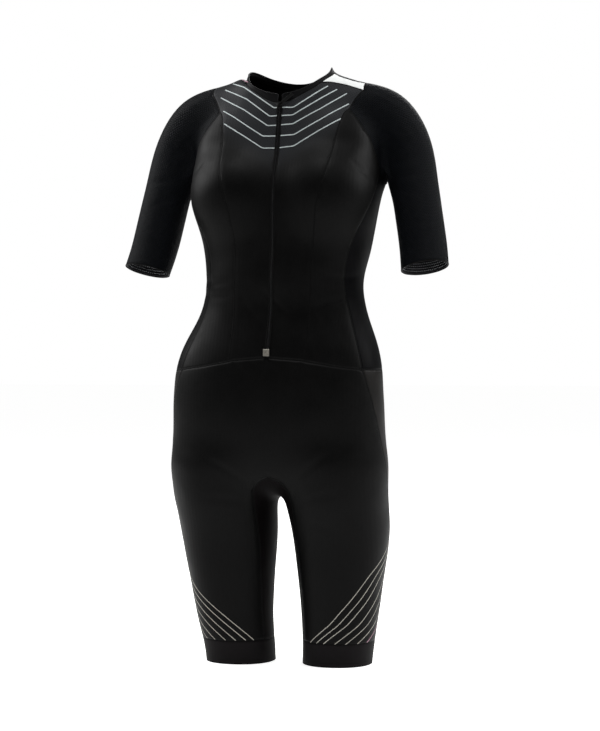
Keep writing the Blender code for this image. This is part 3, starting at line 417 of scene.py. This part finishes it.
dot_turn = node(yoke_tree, "ShaderNodeMapping", {"Vector": yoke_place.outputs["Object"]},
                Rotation=(math.radians(90), 0.0, math.radians(35)))
dots = node(yoke_tree, "ShaderNodeTexVoronoi", {"Vector": dot_turn.outputs["Vector"]},
            voronoi_dimensions="2D", Scale=1 / DOT_PITCH, Randomness=0.15)
dot = node(yoke_tree, "ShaderNodeMapRange", {"Value": dots.outputs["Distance"]}, From_Min=0.18, From_Max=0.34)
ink = node(yoke_tree, "ShaderNodeMix", {"Factor": dot.outputs["Result"]}, data_type="RGBA",
           _6=linear(YOKE_DOT), _7=linear(YOKE_INK))
cloth_socket = yoke_shader.inputs["Base Color"].links[0].from_socket
printed = node(yoke_tree, "ShaderNodeMix",
               {"Factor": fade.outputs["Result"], 6: cloth_socket, 7: ink.outputs[2]}, data_type="RGBA")
yoke_tree.links.new(printed.outputs[2], yoke_shader.inputs["Base Color"])

# Honeycomb knit of the sleeves: offset rows of small holes between raised yarns; the holes are painted darker
# than the yarns, as painted shade inside them
HOLE_PITCH = 3.6 * MM       # drawn coarser than real so that they show
mesh_knit, mesh_tree, mesh_shader = start_material("honeycomb_sleeve_knit", 0.55, 0.04)
mesh_uv = node(mesh_tree, "ShaderNodeTexCoord")
holes = node(mesh_tree, "ShaderNodeTexBrick", {"Vector": mesh_uv.outputs["UV"]}, offset=0.5,
             Scale=1 / HOLE_PITCH, Mortar_Size=0.16, Mortar_Smooth=1.0, Brick_Width=1.0, Row_Height=0.62)
# painted shade: the two cell colours darken the holes, while the lighter mortar colour is the yarn's own
holes.inputs["Color1"].default_value = linear("#030405")
holes.inputs["Color2"].default_value = linear("#040507")
holes.inputs["Mortar"].default_value = linear("#0b0d11")
mesh_tree.links.new(holes.outputs["Color"], mesh_shader.inputs["Base Color"])
mesh_bump = node(mesh_tree, "ShaderNodeBump", {"Height": holes.outputs["Fac"]}, Strength=0.9,
                 Distance=0.7 * MM)
mesh_tree.links.new(mesh_bump.outputs["Normal"], mesh_shader.inputs["Normal"])

FINISHES = {
    "front_centre_left": (yoke_knit, "printed_front"), "front_centre_right": (yoke_knit, "printed_front"),
    "front_side_left": (stretch_knit, "stretch_cloth"), "front_side_right": (stretch_knit, "stretch_cloth"),
    "side_left": (side_knit, "stretch_cloth"), "side_right": (side_knit, "stretch_cloth"),
    "back": (stretch_knit, "stretch_cloth"), "shoulder_band_left": (white_knit, "white_band"),
    "collar": (collar_knit, "stretch_cloth"), "sleeve_left": (mesh_knit, "mesh_cloth"),
    "sleeve_right": (mesh_knit, "mesh_cloth"), "shorts_front": (shorts_knit, "shorts_cloth"),
    "shorts_back": (hip_knit, "hip_cloth"), "inner_thighs": (inner_knit, "inner_cloth"),
    "leg_band_left": (hem_knit, "shorts_cloth"), "leg_band_right": (hem_knit, "shorts_cloth"),
}


SLEEVE_HEAD = 0.10          # below this length of arm, a sleeve is a plain tube


def lay_flat(piece):
    """Give a sleeve a UV map in metres: opened along the underarm, with V along the arm."""
    mesh = piece.data
    sheet = bmesh.new()
    sheet.from_mesh(mesh)
    axis = (ARM_END - ARM_START).normalized()
    inward = Vector((-1.0, 0.0, 0.0)) + axis * axis.x
    across = axis.cross(inward).normalized()
    for edge in sheet.edges:
        if edge.is_boundary:
            continue
        spots = [face.calc_center_median() for face in edge.link_faces]
        spots = [Vector((abs(spot.x), spot.y, spot.z)) - ARM_START for spot in spots]
        if spots[0].dot(across) * spots[1].dot(across) < 0 and (spots[0] + spots[1]).dot(inward) > 0:
            edge.seam = True
    sheet.to_mesh(mesh)
    sheet.free()
    mesh.uv_layers.new(name="cloth")
    bpy.context.view_layer.objects.active = piece
    piece.select_set(True)
    bpy.ops.object.mode_set(mode="EDIT")
    bpy.ops.mesh.select_all(action="SELECT")
    bpy.ops.uv.select_all(action="SELECT")
    bpy.ops.uv.unwrap(method="CONFORMAL", margin=0.0)
    bpy.ops.object.mode_set(mode="OBJECT")
    piece.select_set(False)
    flat = np.empty(len(mesh.loops) * 2)
    mesh.uv_layers["cloth"].data.foreach_get("uv", flat)
    flat = flat.reshape(-1, 2)
    corner = np.empty(len(mesh.loops), dtype=int)
    mesh.loops.foreach_get("vertex_index", corner)
    along = np.array([arm_place(vertex.co)[0] for vertex in mesh.vertices])[corner]
    low = along > SLEEVE_HEAD
    model = np.linalg.lstsq(np.column_stack((flat[low], np.ones(low.sum()))), along[low], rcond=None)[0][:2]
    size = np.linalg.norm(model)
    up = model / size
    turned = np.column_stack((flat @ np.array((up[1], -up[0])), flat @ up)) * size
    mesh.uv_layers["cloth"].data.foreach_set("uv", turned.ravel())


panels = {}
for number, panel in enumerate(PANELS):
    cut = skin.copy()
    bmesh.ops.delete(cut, geom=[face for face in cut.faces if face.material_index != number], context="FACES")
    for face in cut.faces:
        face.material_index = 0
        face.smooth = True
    area = sum(face.calc_area() for face in cut.faces)
    if panel == "zip_chain":
        cut.free()
        continue
    piece = link(panel + "_cloth", cut)
    material, slot = FINISHES[panel]
    piece.data.materials.clear()
    piece.data.materials.append(material)
    if panel.startswith("sleeve"):
        lay_flat(piece)
    wall = piece.modifiers.new("thickness", "SOLIDIFY")
    wall.thickness = CLOTH_THICKNESS
    wall.offset = -1.0
    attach(piece, "suit")
    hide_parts(panel)
    panels[panel] = piece

# ------------------------------------------------------------ flatlock seams
# The panels are joined edge to edge with a flatlock machine: a flat cover of fine black thread
# under three millimetres wide, a little proud of the cloth, that follows every seam.
def sweep(name, path, outs, profile, material, closed=False):
    """Carry a profile of (sideways, outward) places along a path that lies on the cloth."""
    path, outs = np.array(path, dtype=float), np.array(outs, dtype=float)
    forward = np.gradient(path, axis=0)
    forward /= np.linalg.norm(forward, axis=1, keepdims=True) + 1e-12
    sideways = np.cross(forward, outs)
    sideways /= np.linalg.norm(sideways, axis=1, keepdims=True) + 1e-12
    made_mesh = bmesh.new()
    bmesh.ops.create_grid(made_mesh, x_segments=len(profile) - 1, y_segments=len(path) - 1, size=1.0,
                          calc_uvs=False)
    made_mesh.verts.ensure_lookup_table()
    columns = len(profile)
    layer = made_mesh.loops.layers.uv.new("cloth")
    length = np.concatenate(([0], np.cumsum(np.linalg.norm(np.diff(path, axis=0), axis=1))))
    for vertex in made_mesh.verts:
        row, column = divmod(vertex.index, columns)
        side, out = profile[column]
        vertex.co = path[row] + sideways[row] * side + outs[row] * out
        for loop in vertex.link_loops:
            loop[layer].uv = (side, length[row])
    if closed:
        bmesh.ops.remove_doubles(made_mesh, verts=made_mesh.verts, dist=2e-6)
        bmesh.ops.holes_fill(made_mesh, edges=[edge for edge in made_mesh.edges if edge.is_boundary],
                             sides=len(profile))
        bmesh.ops.recalc_face_normals(made_mesh, faces=made_mesh.faces)
    for face in made_mesh.faces:
        face.smooth = True
    made_mesh.faces.ensure_lookup_table()
    middle = made_mesh.faces[len(made_mesh.faces) // 2]
    if not closed and middle.normal.dot(Vector(outs[len(outs) // 2])) < 0:
        bmesh.ops.reverse_faces(made_mesh, faces=made_mesh.faces)
    made = link(name, made_mesh)
    made.data.materials.append(material)
    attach(made, "suit")
    return made


def chains(edges):
    """Edges strung into ordered runs of vertices."""
    joined = {}
    for edge in edges:
        for vertex in edge.verts:
            joined.setdefault(vertex, []).append(edge)
    unused, runs = set(edges), []
    starts = [vertex for vertex in joined if len(joined[vertex]) != 2] + list(joined)
    for start in starts:
        while any(edge in unused for edge in joined[start]):
            run, here = [start], start
            while True:
                onward = [edge for edge in joined[here] if edge in unused]
                if not onward:
                    break
                unused.discard(onward[0])
                here = onward[0].other_vert(here)
                run.append(here)
                if len(joined[here]) != 2:
                    break
            runs.append(run)
    return runs


def evened(path, step, rounds=3):
    """A run's places smoothed a little, and set at an even step."""
    path = np.array(path, dtype=float)
    loop = np.linalg.norm(path[0] - path[-1]) < 1e-6
    for _ in range(rounds):
        path[1:-1] = (path[:-2] + 2 * path[1:-1] + path[2:]) / 4
        if loop:
            path[0] = path[-1] = (path[1] + 2 * path[0] + path[-2]) / 4
    length = np.concatenate(([0], np.cumsum(np.linalg.norm(np.diff(path, axis=0), axis=1))))
    places = np.linspace(0, length[-1], max(int(length[-1] / step), 2) + 1)
    return np.stack([np.interp(places, length, path[:, axis]) for axis in range(3)], axis=-1)


def on_cloth(path):
    """Lay places on the cloth, with the way out at each."""
    found = [skin_surface.find_nearest(Vector(place)) for place in path]
    outs = np.array([hit[1] for hit in found])
    if len(outs) > 4:
        for _ in range(2):
            outs[1:-1] = (outs[:-2] + outs[1:-1] + outs[2:]) / 3
        outs /= np.linalg.norm(outs, axis=1, keepdims=True)
    return np.array([hit[0] for hit in found]), outs


def speckle(tree, shader, dark, light, scale):
    """Give a finish a fine unevenness between two near tones."""
    place = node(tree, "ShaderNodeTexCoord")
    cloud = node(tree, "ShaderNodeTexNoise", {"Vector": place.outputs["Object"]}, Scale=scale, Detail=2.0)
    tone = node(tree, "ShaderNodeMix", {"Factor": cloud.outputs["Fac"]}, data_type="RGBA", _6=linear(dark),
                _7=linear(light))
    tree.links.new(tone.outputs[2], shader.inputs["Base Color"])


THREAD_STEP = 2.5 * MM
WAVE_FACTOR = 3.2           # a wave texture's scale is one over this times its period
STITCH_PITCH = 2.4 * MM     # the machine's cover stitches, drawn coarser than 1.2 mm so that they show
seam_thread, seam_tree_nodes, seam_shader = start_material("flatlock_thread", 0.60, 0.04)
speckle(seam_tree_nodes, seam_shader, "#030303", "#080808", 700.0)
seam_uv = node(seam_tree_nodes, "ShaderNodeTexCoord")
seam_map = node(seam_tree_nodes, "ShaderNodeMapping", {"Vector": seam_uv.outputs["UV"]},
                Rotation=(0.0, 0.0, math.radians(28)))
stitches = node(seam_tree_nodes, "ShaderNodeTexWave", {"Vector": seam_map.outputs["Vector"]},
                Scale=1 / (STITCH_PITCH * WAVE_FACTOR), bands_direction="Y")
seam_bump = node(seam_tree_nodes, "ShaderNodeBump", {"Height": stitches.outputs["Fac"]}, Strength=0.6,
                 Distance=0.0003)
seam_tree_nodes.links.new(seam_bump.outputs["Normal"], seam_shader.inputs["Normal"])
SEAM_PROFILE = [(-1.3 * MM, -0.15 * MM), (-1.0 * MM, 0.10 * MM), (-0.3 * MM, 0.16 * MM),
                (0.3 * MM, 0.16 * MM), (1.0 * MM, 0.10 * MM), (1.3 * MM, -0.15 * MM)]
zip_index = PANELS.index("zip_chain")
seam_groups = {}
for edge in seam_edges:
    pair = tuple(sorted({face.material_index for face in edge.link_faces}))
    if zip_index not in pair:
        seam_groups.setdefault(pair, []).append(edge)
for pair, edges in seam_groups.items():
    for number, run in enumerate(chains(edges)):
        path = evened([vertex.co for vertex in run], THREAD_STEP, rounds=12)
        if len(path) > 3:
            laid, outs = on_cloth(path)
            first, second = (PANELS[panel] for panel in pair)
            sweep(f"seam_{first}_to_{second}_{number}", laid, outs, SEAM_PROFILE, seam_thread)

# ------------------------------------------------------------ edges of the collar, cuffs and legs
# The collar's top edge is bound with a narrow rolled strip of the same knit. The cuffs and legs
# end in a folded edge, which shows as a thin soft roll.
def round_profile(radius, sides=10):
    """A closed ring of places for sweep."""
    return [(radius * math.cos(2 * math.pi * n / sides), radius * math.sin(2 * math.pi * n / sides))
            for n in range(sides + 1)]


COLLAR_ABOVE = -0.1
LEGS_BELOW = -0.8
ROLL_RADIUS = {"collar": 1.15 * MM, "cuff": 0.9 * MM, "leg": 0.8 * MM}
border_edges = [edge for edge in skin.edges if edge.is_boundary]
for number, run in enumerate(chains(border_edges)):
    path = np.array([vertex.co for vertex in run])
    middle = path.mean(axis=0)
    kind = "collar" if middle[2] > COLLAR_ABOVE else "leg" if middle[2] < LEGS_BELOW else "cuff"
    if kind == "collar":
        keep = [PANELS[vertex.link_faces[0].material_index] == "collar" for vertex in run]
        path = np.array([place for place, kept in zip(path, keep) if kept])
    path = evened(path, THREAD_STEP)
    laid, outs = on_cloth(path)
    sweep(f"{kind}_edge_{number}", laid - outs * CLOTH_THICKNESS / 2, outs,
          round_profile(ROLL_RADIUS[kind]), collar_knit if kind == "collar" else seam_thread,
          closed=True)

# ------------------------------------------------------------ printed pin-stripes
# Thin pale stripes are printed on the yoke, five to a side, which meet the zip in shallow bends,
# and on the outside of each leg above its hem, where they sweep up and round to the back.
INK_LIFT = 0.10 * MM
INK_STEP = 2.0 * MM
pin_ink, ink_tree, ink_shader = start_material("pale_pin_stripe_ink", 0.55, 0.35)
speckle(ink_tree, ink_shader, "#8c9595", "#b5bdbd", 420.0)
warm_ink, warm_tree, warm_shader = start_material("warm_leg_stripe_ink", 0.55, 0.35)
speckle(warm_tree, warm_shader, "#77746c", "#aeaba1", 420.0)
pink_ink, pink_tree, pink_shader = start_material("pink_piping_ink", 0.55, 0.35)
speckle(pink_tree, pink_shader, "#a07888", "#b48c9b", 420.0)


def flat_profile(width):
    """A stripe of ink: its edges tuck into the cloth."""
    return [(-width / 2, -0.06 * MM), (-width / 2 * 0.92, INK_LIFT), (0.0, INK_LIFT * 1.1),
            (width / 2 * 0.92, INK_LIFT), (width / 2, -0.06 * MM)]


def from_front(x, z):
    """The place on the cloth straight behind a front view's place, in millimetres."""
    return skin_surface.ray_cast(Vector((x * MM, -0.4, z * MM)), Vector((0.0, 1.0, 0.0)))[0]


# across and up, mm, from the outer end to the zip
CHEST_STRIPES = {
    "right": [[(-88, 9), (-63, -1), (-35, -20), (-9, -38), (-3, -37.5)],
              [(-99, -1), (-77, -11), (-56, -21), (-15, -51), (-3, -50.5)],
              [(-104, -14), (-80, -27), (-59, -38), (-17, -66), (-3, -65.5)],
              [(-96, -37), (-76, -48), (-58, -60), (-24, -82), (-4, -82.5)],
              [(-90, -59), (-72, -70), (-54, -81), (-23, -101), (-4, -101.5)]],
    "left": [[(69, -3), (46, -20), (21, -38), (4, -37.5)],
             [(82, -8), (52, -29), (21, -50), (4, -50.5)],
             [(97, -14), (61, -40), (22, -64), (4, -65)],
             [(101, -31), (65, -56), (25, -81), (4, -82)],
             [(93, -56), (61, -76), (26, -99), (4, -101)]],
}
STRIPE_WIDTH = 1.75 * MM
for side, stripes in CHEST_STRIPES.items():
    for number, places in enumerate(stripes):
        path = []
        for (x0, z0), (x1, z1) in zip(places[:-1], places[1:]):
            count = max(int(math.hypot(x1 - x0, z1 - z0) / 2), 1)
            path += [from_front(x0 + (x1 - x0) * n / count, z0 + (z1 - z0) * n / count) for n in range(count)]
        path.append(from_front(*places[-1]))
        laid, outs = on_cloth(evened([place for place in path if place], INK_STEP, rounds=1))
        sweep(f"chest_stripe_{side}_{number}", laid, outs, flat_profile(STRIPE_WIDTH), pin_ink)

# A few short pale ticks behind the white shoulder band, across and back, mm
SHOULDER_TICKS = [[(79, 14), (84, 16)], [(92, 20), (97, 22)], [(104, 17), (109, 16)]]
for number, ends in enumerate(SHOULDER_TICKS):
    path = [skin_surface.ray_cast(Vector((x * MM, y * MM, 0.2)), Vector((0.0, 0.0, -1.0)))[0]
            for x, y in ends]
    laid, outs = on_cloth(evened([place for place in path if place], INK_STEP, rounds=0))
    sweep(f"shoulder_tick_{number}", laid, outs, flat_profile(STRIPE_WIDTH), pin_ink)

# A pink piping at the neck's right side, where the shoulder meets the collar: across and up, mm
PIPING_RADIUS = 0.8 * MM
PIPING = [(-73, 14.5), (-68, 13), (-63, 10.5), (-58, 7.5)]
laid, outs = on_cloth(evened([from_front(*place) for place in PIPING], INK_STEP, rounds=2))
sweep("neck_piping", laid, outs, round_profile(PIPING_RADIUS), pink_ink, closed=True)

# turn round the leg in degrees from straight ahead, height in mm: the highest stripe of each leg
LEG_SWEEP = {"left": [(-42, -853), (-22, -838), (-3, -823), (25, -787), (50, -747), (79, -715), (101, -693)],
             "right": [(-44, -852), (-21, -833), (1, -814), (22, -795), (43, -776), (62, -755), (80, -730),
                       (101, -700)]}
LEG_STARTS = {"left": [-42, -29, -16, 3, 21, 42, 63], "right": [-44, -31, -15, 2, 22, 42]}
LEG_STRIPE_WIDTH = 1.15 * MM
LEG_SEAM_TURN = 101


def round_leg(turn, z, side):
    """The place on the cloth at a turn round the leg, seen from the leg's axis."""
    way = Vector((side * math.sin(math.radians(turn)), -math.cos(math.radians(turn)), 0.0))
    start = Vector((side * LEG_AXIS.x, LEG_AXIS.y, z * MM)) + way * 0.15
    return skin_surface.ray_cast(start, -way)[0]


for side, starts in LEG_STARTS.items():
    turns, heights = np.array(LEG_SWEEP[side], dtype=float).T
    for number, start in enumerate(starts):
        shift = start - starts[0]
        steps = np.arange(turns[0], LEG_SEAM_TURN - shift + 0.1, 2.0)
        path = [round_leg(turn + shift, np.interp(turn, turns, heights), SIDES[side]) for turn in steps]
        laid, outs = on_cloth(evened([place for place in path if place], INK_STEP, rounds=8))
        ink = pink_ink if side == "left" and start == starts[-1] else warm_ink
        sweep(f"leg_stripe_{side}_{number}", laid, outs, flat_profile(LEG_STRIPE_WIDTH), ink)

# ------------------------------------------------------------ front zip
# A closed spiral zip: two woven tapes sewn behind the panels' turned edges, and between them two
# rows of black nylon coils, which mesh on the middle line from the collar to the waist.
COIL_PITCH = 1.3 * MM
zip_faces = [face for face in skin.faces if face.material_index == zip_index]
zip_points = np.array([vertex.co for vertex in {v for face in zip_faces for v in face.verts}])
heights = np.arange(zip_points[:, 2].max(), zip_points[:, 2].min(), -COIL_PITCH)
middle_x = np.interp(heights[::-1], *np.array(sorted(
    (z, zip_points[np.abs(zip_points[:, 2] - z) < 0.006][:, 0].mean()) for z in heights)).T)[::-1]
hits = [skin_surface.ray_cast(Vector((x, -0.4, z)), Vector((0.0, 1.0, 0.0)))[0]
        for x, z in zip(middle_x, heights + 1e-5)]
zip_line = np.array([hit for hit in hits if hit and hit.y < 0.0])       # the others met the back
zip_line, zip_outs = on_cloth(evened(zip_line, COIL_PITCH, rounds=6))

TWILL_SCALE = 1 / (5.04 * MM)       # ridges about 3.2 mm apart, drawn coarser than real so that they show
tape_weave, tape_tree, tape_shader = start_material("woven_zip_tape", 0.62, 0.06)
speckle(tape_tree, tape_shader, "#040404", "#090909", 700.0)
tape_uv = node(tape_tree, "ShaderNodeTexCoord")
tape_lines = node(tape_tree, "ShaderNodeTexWave", {"Vector": tape_uv.outputs["UV"]}, Scale=TWILL_SCALE,
                  bands_direction="DIAGONAL")
tape_bump = node(tape_tree, "ShaderNodeBump", {"Height": tape_lines.outputs["Fac"]}, Strength=0.5,
                 Distance=0.2 * MM)
tape_tree.links.new(tape_bump.outputs["Normal"], tape_shader.inputs["Normal"])
TAPE_PROFILE = [(-3.7 * MM, -1.2 * MM), (-3.7 * MM, 0.25 * MM), (-3.0 * MM, 0.45 * MM),
                (-2.3 * MM, 0.30 * MM), (-1.7 * MM, -0.20 * MM), (1.7 * MM, -0.20 * MM),
                (2.3 * MM, 0.30 * MM), (3.0 * MM, 0.45 * MM), (3.7 * MM, 0.25 * MM),
                (3.7 * MM, -1.2 * MM), (0.0, -1.3 * MM), (-3.7 * MM, -1.2 * MM)]
tape = sweep("zip_tape", zip_line, zip_outs, TAPE_PROFILE, tape_weave, closed=True)
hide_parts("zip_chain")

coil_nylon, coil_tree, coil_shader = start_material("black_nylon_coil", 0.45, 0.10)
speckle(coil_tree, coil_shader, "#141415", "#1f1f20", 900.0)
TOOTH_SIZE = (2.1 * MM, 0.85 * MM, 0.8 * MM)
TOOTH_TILT = math.radians(12)
TOOTH_ASIDE = 0.55 * MM     # the two rows stand this far to each side of the middle line
TOOTH_LIFT = 0.15 * MM
coils = bmesh.new()
for number in range(len(zip_line) - 1):
    out = Vector(zip_outs[number])
    forward = (Vector(zip_line[number + 1]) - Vector(zip_line[number])).normalized()
    sideways = forward.cross(out).normalized()
    side = 1 if number % 2 else -1
    tooth = bmesh.ops.create_cube(coils, size=1.0)["verts"]
    turn = Matrix((sideways, forward, out)).transposed().to_4x4()
    tilt = Matrix.Rotation(TOOTH_TILT * side, 4, "Z")
    bmesh.ops.scale(coils, vec=TOOTH_SIZE, verts=tooth)
    for vertex in tooth:
        if vertex.co.z > 0:
            vertex.co.y *= 0.55
            vertex.co.x *= 0.85
    place = Vector(zip_line[number]) + sideways * side * TOOTH_ASIDE + out * TOOTH_LIFT
    bmesh.ops.transform(coils, matrix=Matrix.Translation(place) @ turn @ tilt, verts=tooth)
coil = link("zip_coils", coils)
coil.data.materials.append(coil_nylon)
soften = coil.modifiers.new("soften", "BEVEL")
soften.width = 0.12 * MM
soften.segments = 1
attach(coil, "suit")

# ------------------------------------------------------------ slider, pull tab and retainer box
# A die-cast slider with black enamel, and a pull tab hung from its
# bail. A bright pressed-steel box and pin close the zip's lower end.
enamel, enamel_tree, enamel_shader = start_material("black_enamel", 0.42, 0.12)
speckle(enamel_tree, enamel_shader, "#030303", "#080808", 500.0)
steel, steel_tree, steel_shader = start_material("pressed_bright_steel", 0.28, 0.5, metallic=1.0)
speckle(steel_tree, steel_shader, "#5d5a53", "#b0aca2", 500.0)
for name, material in (("zip_slider", enamel), ("zip_pull", enamel), ("zip_box", steel)):
    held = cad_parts[name]
    held.data.materials.clear()
    held.data.materials.append(material)

# ------------------------------------------------------------ gripper tape inside the cuffs
# A dark elastic tape is sewn inside each cuff, with rows of small clear silicone dots on it that
# stop the sleeve from riding up.
TAPE_WIDTH = 0.024
TAPE_THICKNESS = 0.8 * MM
TAPE_GAP = 0.25 * MM        # between the sleeve's inside and the tape
DOT_STEP = 4.2 * MM
DOT_ROWS = 5
DOT_RADIUS = 0.75 * MM
DOT_DEPTH = 1.15 * MM       # from the sleeve's inside to a dot's middle
FIRST_ROW = 0.0035          # from the cuff's edge
CUFF_RADIUS = 0.0362
silicone, silicone_tree, silicone_shader = start_material("clear_silicone_dots", 0.25, 0.5)
speckle(silicone_tree, silicone_shader, "#808285", "#a0a2a5", 900.0)
grip_elastic, grip_tree, grip_shader = start_material("grip_elastic", 0.6, 0.08)
speckle(grip_tree, grip_shader, "#0b0b0c", "#141416", 600.0)
grip_place = node(grip_tree, "ShaderNodeTexCoord")
grip_lines = node(grip_tree, "ShaderNodeTexWave", {"Vector": grip_place.outputs["Object"]}, Scale=90.0,
                  bands_direction="Z", Distortion=0.5)
grip_bump = node(grip_tree, "ShaderNodeBump", {"Height": grip_lines.outputs["Fac"]}, Strength=0.5,
                 Distance=0.2 * MM)
grip_tree.links.new(grip_bump.outputs["Normal"], grip_shader.inputs["Normal"])
arm_length = (ARM_END - ARM_START).length
for side_name, side in SIDES.items():
    number = PANELS.index("sleeve_" + side_name)
    tape_skin = skin.copy()
    bmesh.ops.delete(tape_skin, geom=[
        face for face in tape_skin.faces if face.material_index != number
        or arm_place(face.calc_center_median())[0] < arm_length - TAPE_WIDTH], context="FACES")
    ring_surface = BVHTree.FromBMesh(tape_skin)
    tape_skin.normal_update()
    for vertex in tape_skin.verts:
        vertex.co -= vertex.normal * (CLOTH_THICKNESS + TAPE_GAP)
    for face in tape_skin.faces:
        face.material_index = 0
        face.smooth = True
    area = sum(face.calc_area() for face in tape_skin.faces)
    grip = link("grip_tape_" + side_name, tape_skin)
    grip.data.materials.clear()
    grip.data.materials.append(grip_elastic)
    wall = grip.modifiers.new("thickness", "SOLIDIFY")
    wall.thickness = TAPE_THICKNESS
    wall.offset = -1.0
    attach(grip, "suit")
    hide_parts("cuff_grip_" + side_name)
    dots_mesh = bmesh.new()
    axis = (ARM_END - ARM_START).normalized()
    axis = Vector((axis.x * side, axis.y, axis.z))
    centre_end = Vector((ARM_END.x * side, ARM_END.y, ARM_END.z))
    first = axis.orthogonal().normalized()
    second = axis.cross(first)
    around = int(2 * math.pi * CUFF_RADIUS / DOT_STEP)
    for row in range(DOT_ROWS):
        centre = centre_end - axis * (FIRST_ROW + row * DOT_STEP)
        for step in range(around):
            angle = 2 * math.pi * (step + row % 2 / 2) / around
            way = first * math.cos(angle) + second * math.sin(angle)
            hit = ring_surface.ray_cast(centre, way, 0.08)
            if hit[0] is None:
                continue
            dot = bmesh.ops.create_icosphere(dots_mesh, subdivisions=1, radius=DOT_RADIUS)["verts"]
            bmesh.ops.translate(dots_mesh, vec=hit[0] - way * (CLOTH_THICKNESS + DOT_DEPTH), verts=dot)
    for face in dots_mesh.faces:
        face.smooth = True
    dots_piece = link("silicone_dots_" + side_name, dots_mesh)
    dots_piece.data.materials.append(silicone)
    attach(dots_piece, "suit")

# ------------------------------------------------------------ studio
# A pale floor that runs far back, an even white surround, and large soft lights: one overhead, one
# high on each side that draws the soft edges of the chest, hips and legs, and one behind.
FLOOR_GAP = 0.5 * MM        # the legs' edges stand just clear of the floor
FLOOR_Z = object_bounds()[0][2] - FLOOR_GAP
floor_mesh = bmesh.new()
bmesh.ops.create_grid(floor_mesh, x_segments=2, y_segments=2, size=40.0)
bmesh.ops.translate(floor_mesh, vec=(0.0, 0.0, FLOOR_Z), verts=floor_mesh.verts)
floor = link("floor", floor_mesh)
floor_paint, _, floor_shader = start_material("pale_floor_paint", 0.9, 0.1)
floor_shader.inputs["Base Color"].default_value = linear("#e9e9e8")
floor_shader.inputs["Emission Color"].default_value = (1.0, 1.0, 1.0, 1.0)
floor_shader.inputs["Emission Strength"].default_value = 0.85
floor.data.materials.append(floor_paint)

world = bpy.data.worlds.new("soft_surround")
world.use_nodes = True
SURROUND = 0.17             # how strongly the white surround lights the suit
sky = world.node_tree
sky.nodes["Background"].inputs["Color"].default_value = (1.0, 1.0, 1.0, 1.0)
seen = node(sky, "ShaderNodeLightPath")
strength = node(sky, "ShaderNodeMapRange", {"Value": seen.outputs["Is Camera Ray"]}, To_Min=SURROUND,
                To_Max=1.0)
sky.links.new(strength.outputs["Result"], sky.nodes["Background"].inputs["Strength"])
bpy.context.scene.world = world
bpy.context.scene.view_settings.view_transform = "Standard"


def soft_light(name, place, aim, width, height, power):
    """A rectangular light of a size in metres and a power in watts, turned to its aim."""
    lamp = bpy.data.lights.new(name, "AREA")
    lamp.shape = "RECTANGLE"
    lamp.size, lamp.size_y = width, height
    lamp.energy = power
    made = bpy.data.objects.new(name, lamp)
    made.location = place
    made.rotation_euler = (Vector(aim) - Vector(place)).to_track_quat("-Z", "Y").to_euler()
    bpy.context.scene.collection.objects.link(made)


soft_light("overhead", (0.0, -0.6, 2.6), (0.0, 0.0, -0.30), 1.6, 1.0, 60.0)
soft_light("upper_left", (2.2, 0.5, 1.1), (0.0, 0.0, -0.40), 1.0, 1.8, 60.0)
soft_light("upper_right", (-2.2, 0.3, 1.1), (0.0, 0.0, -0.40), 1.0, 1.8, 60.0)
soft_light("behind", (0.3, 2.6, 1.4), (0.0, 0.0, -0.35), 2.0, 1.0, 40.0)
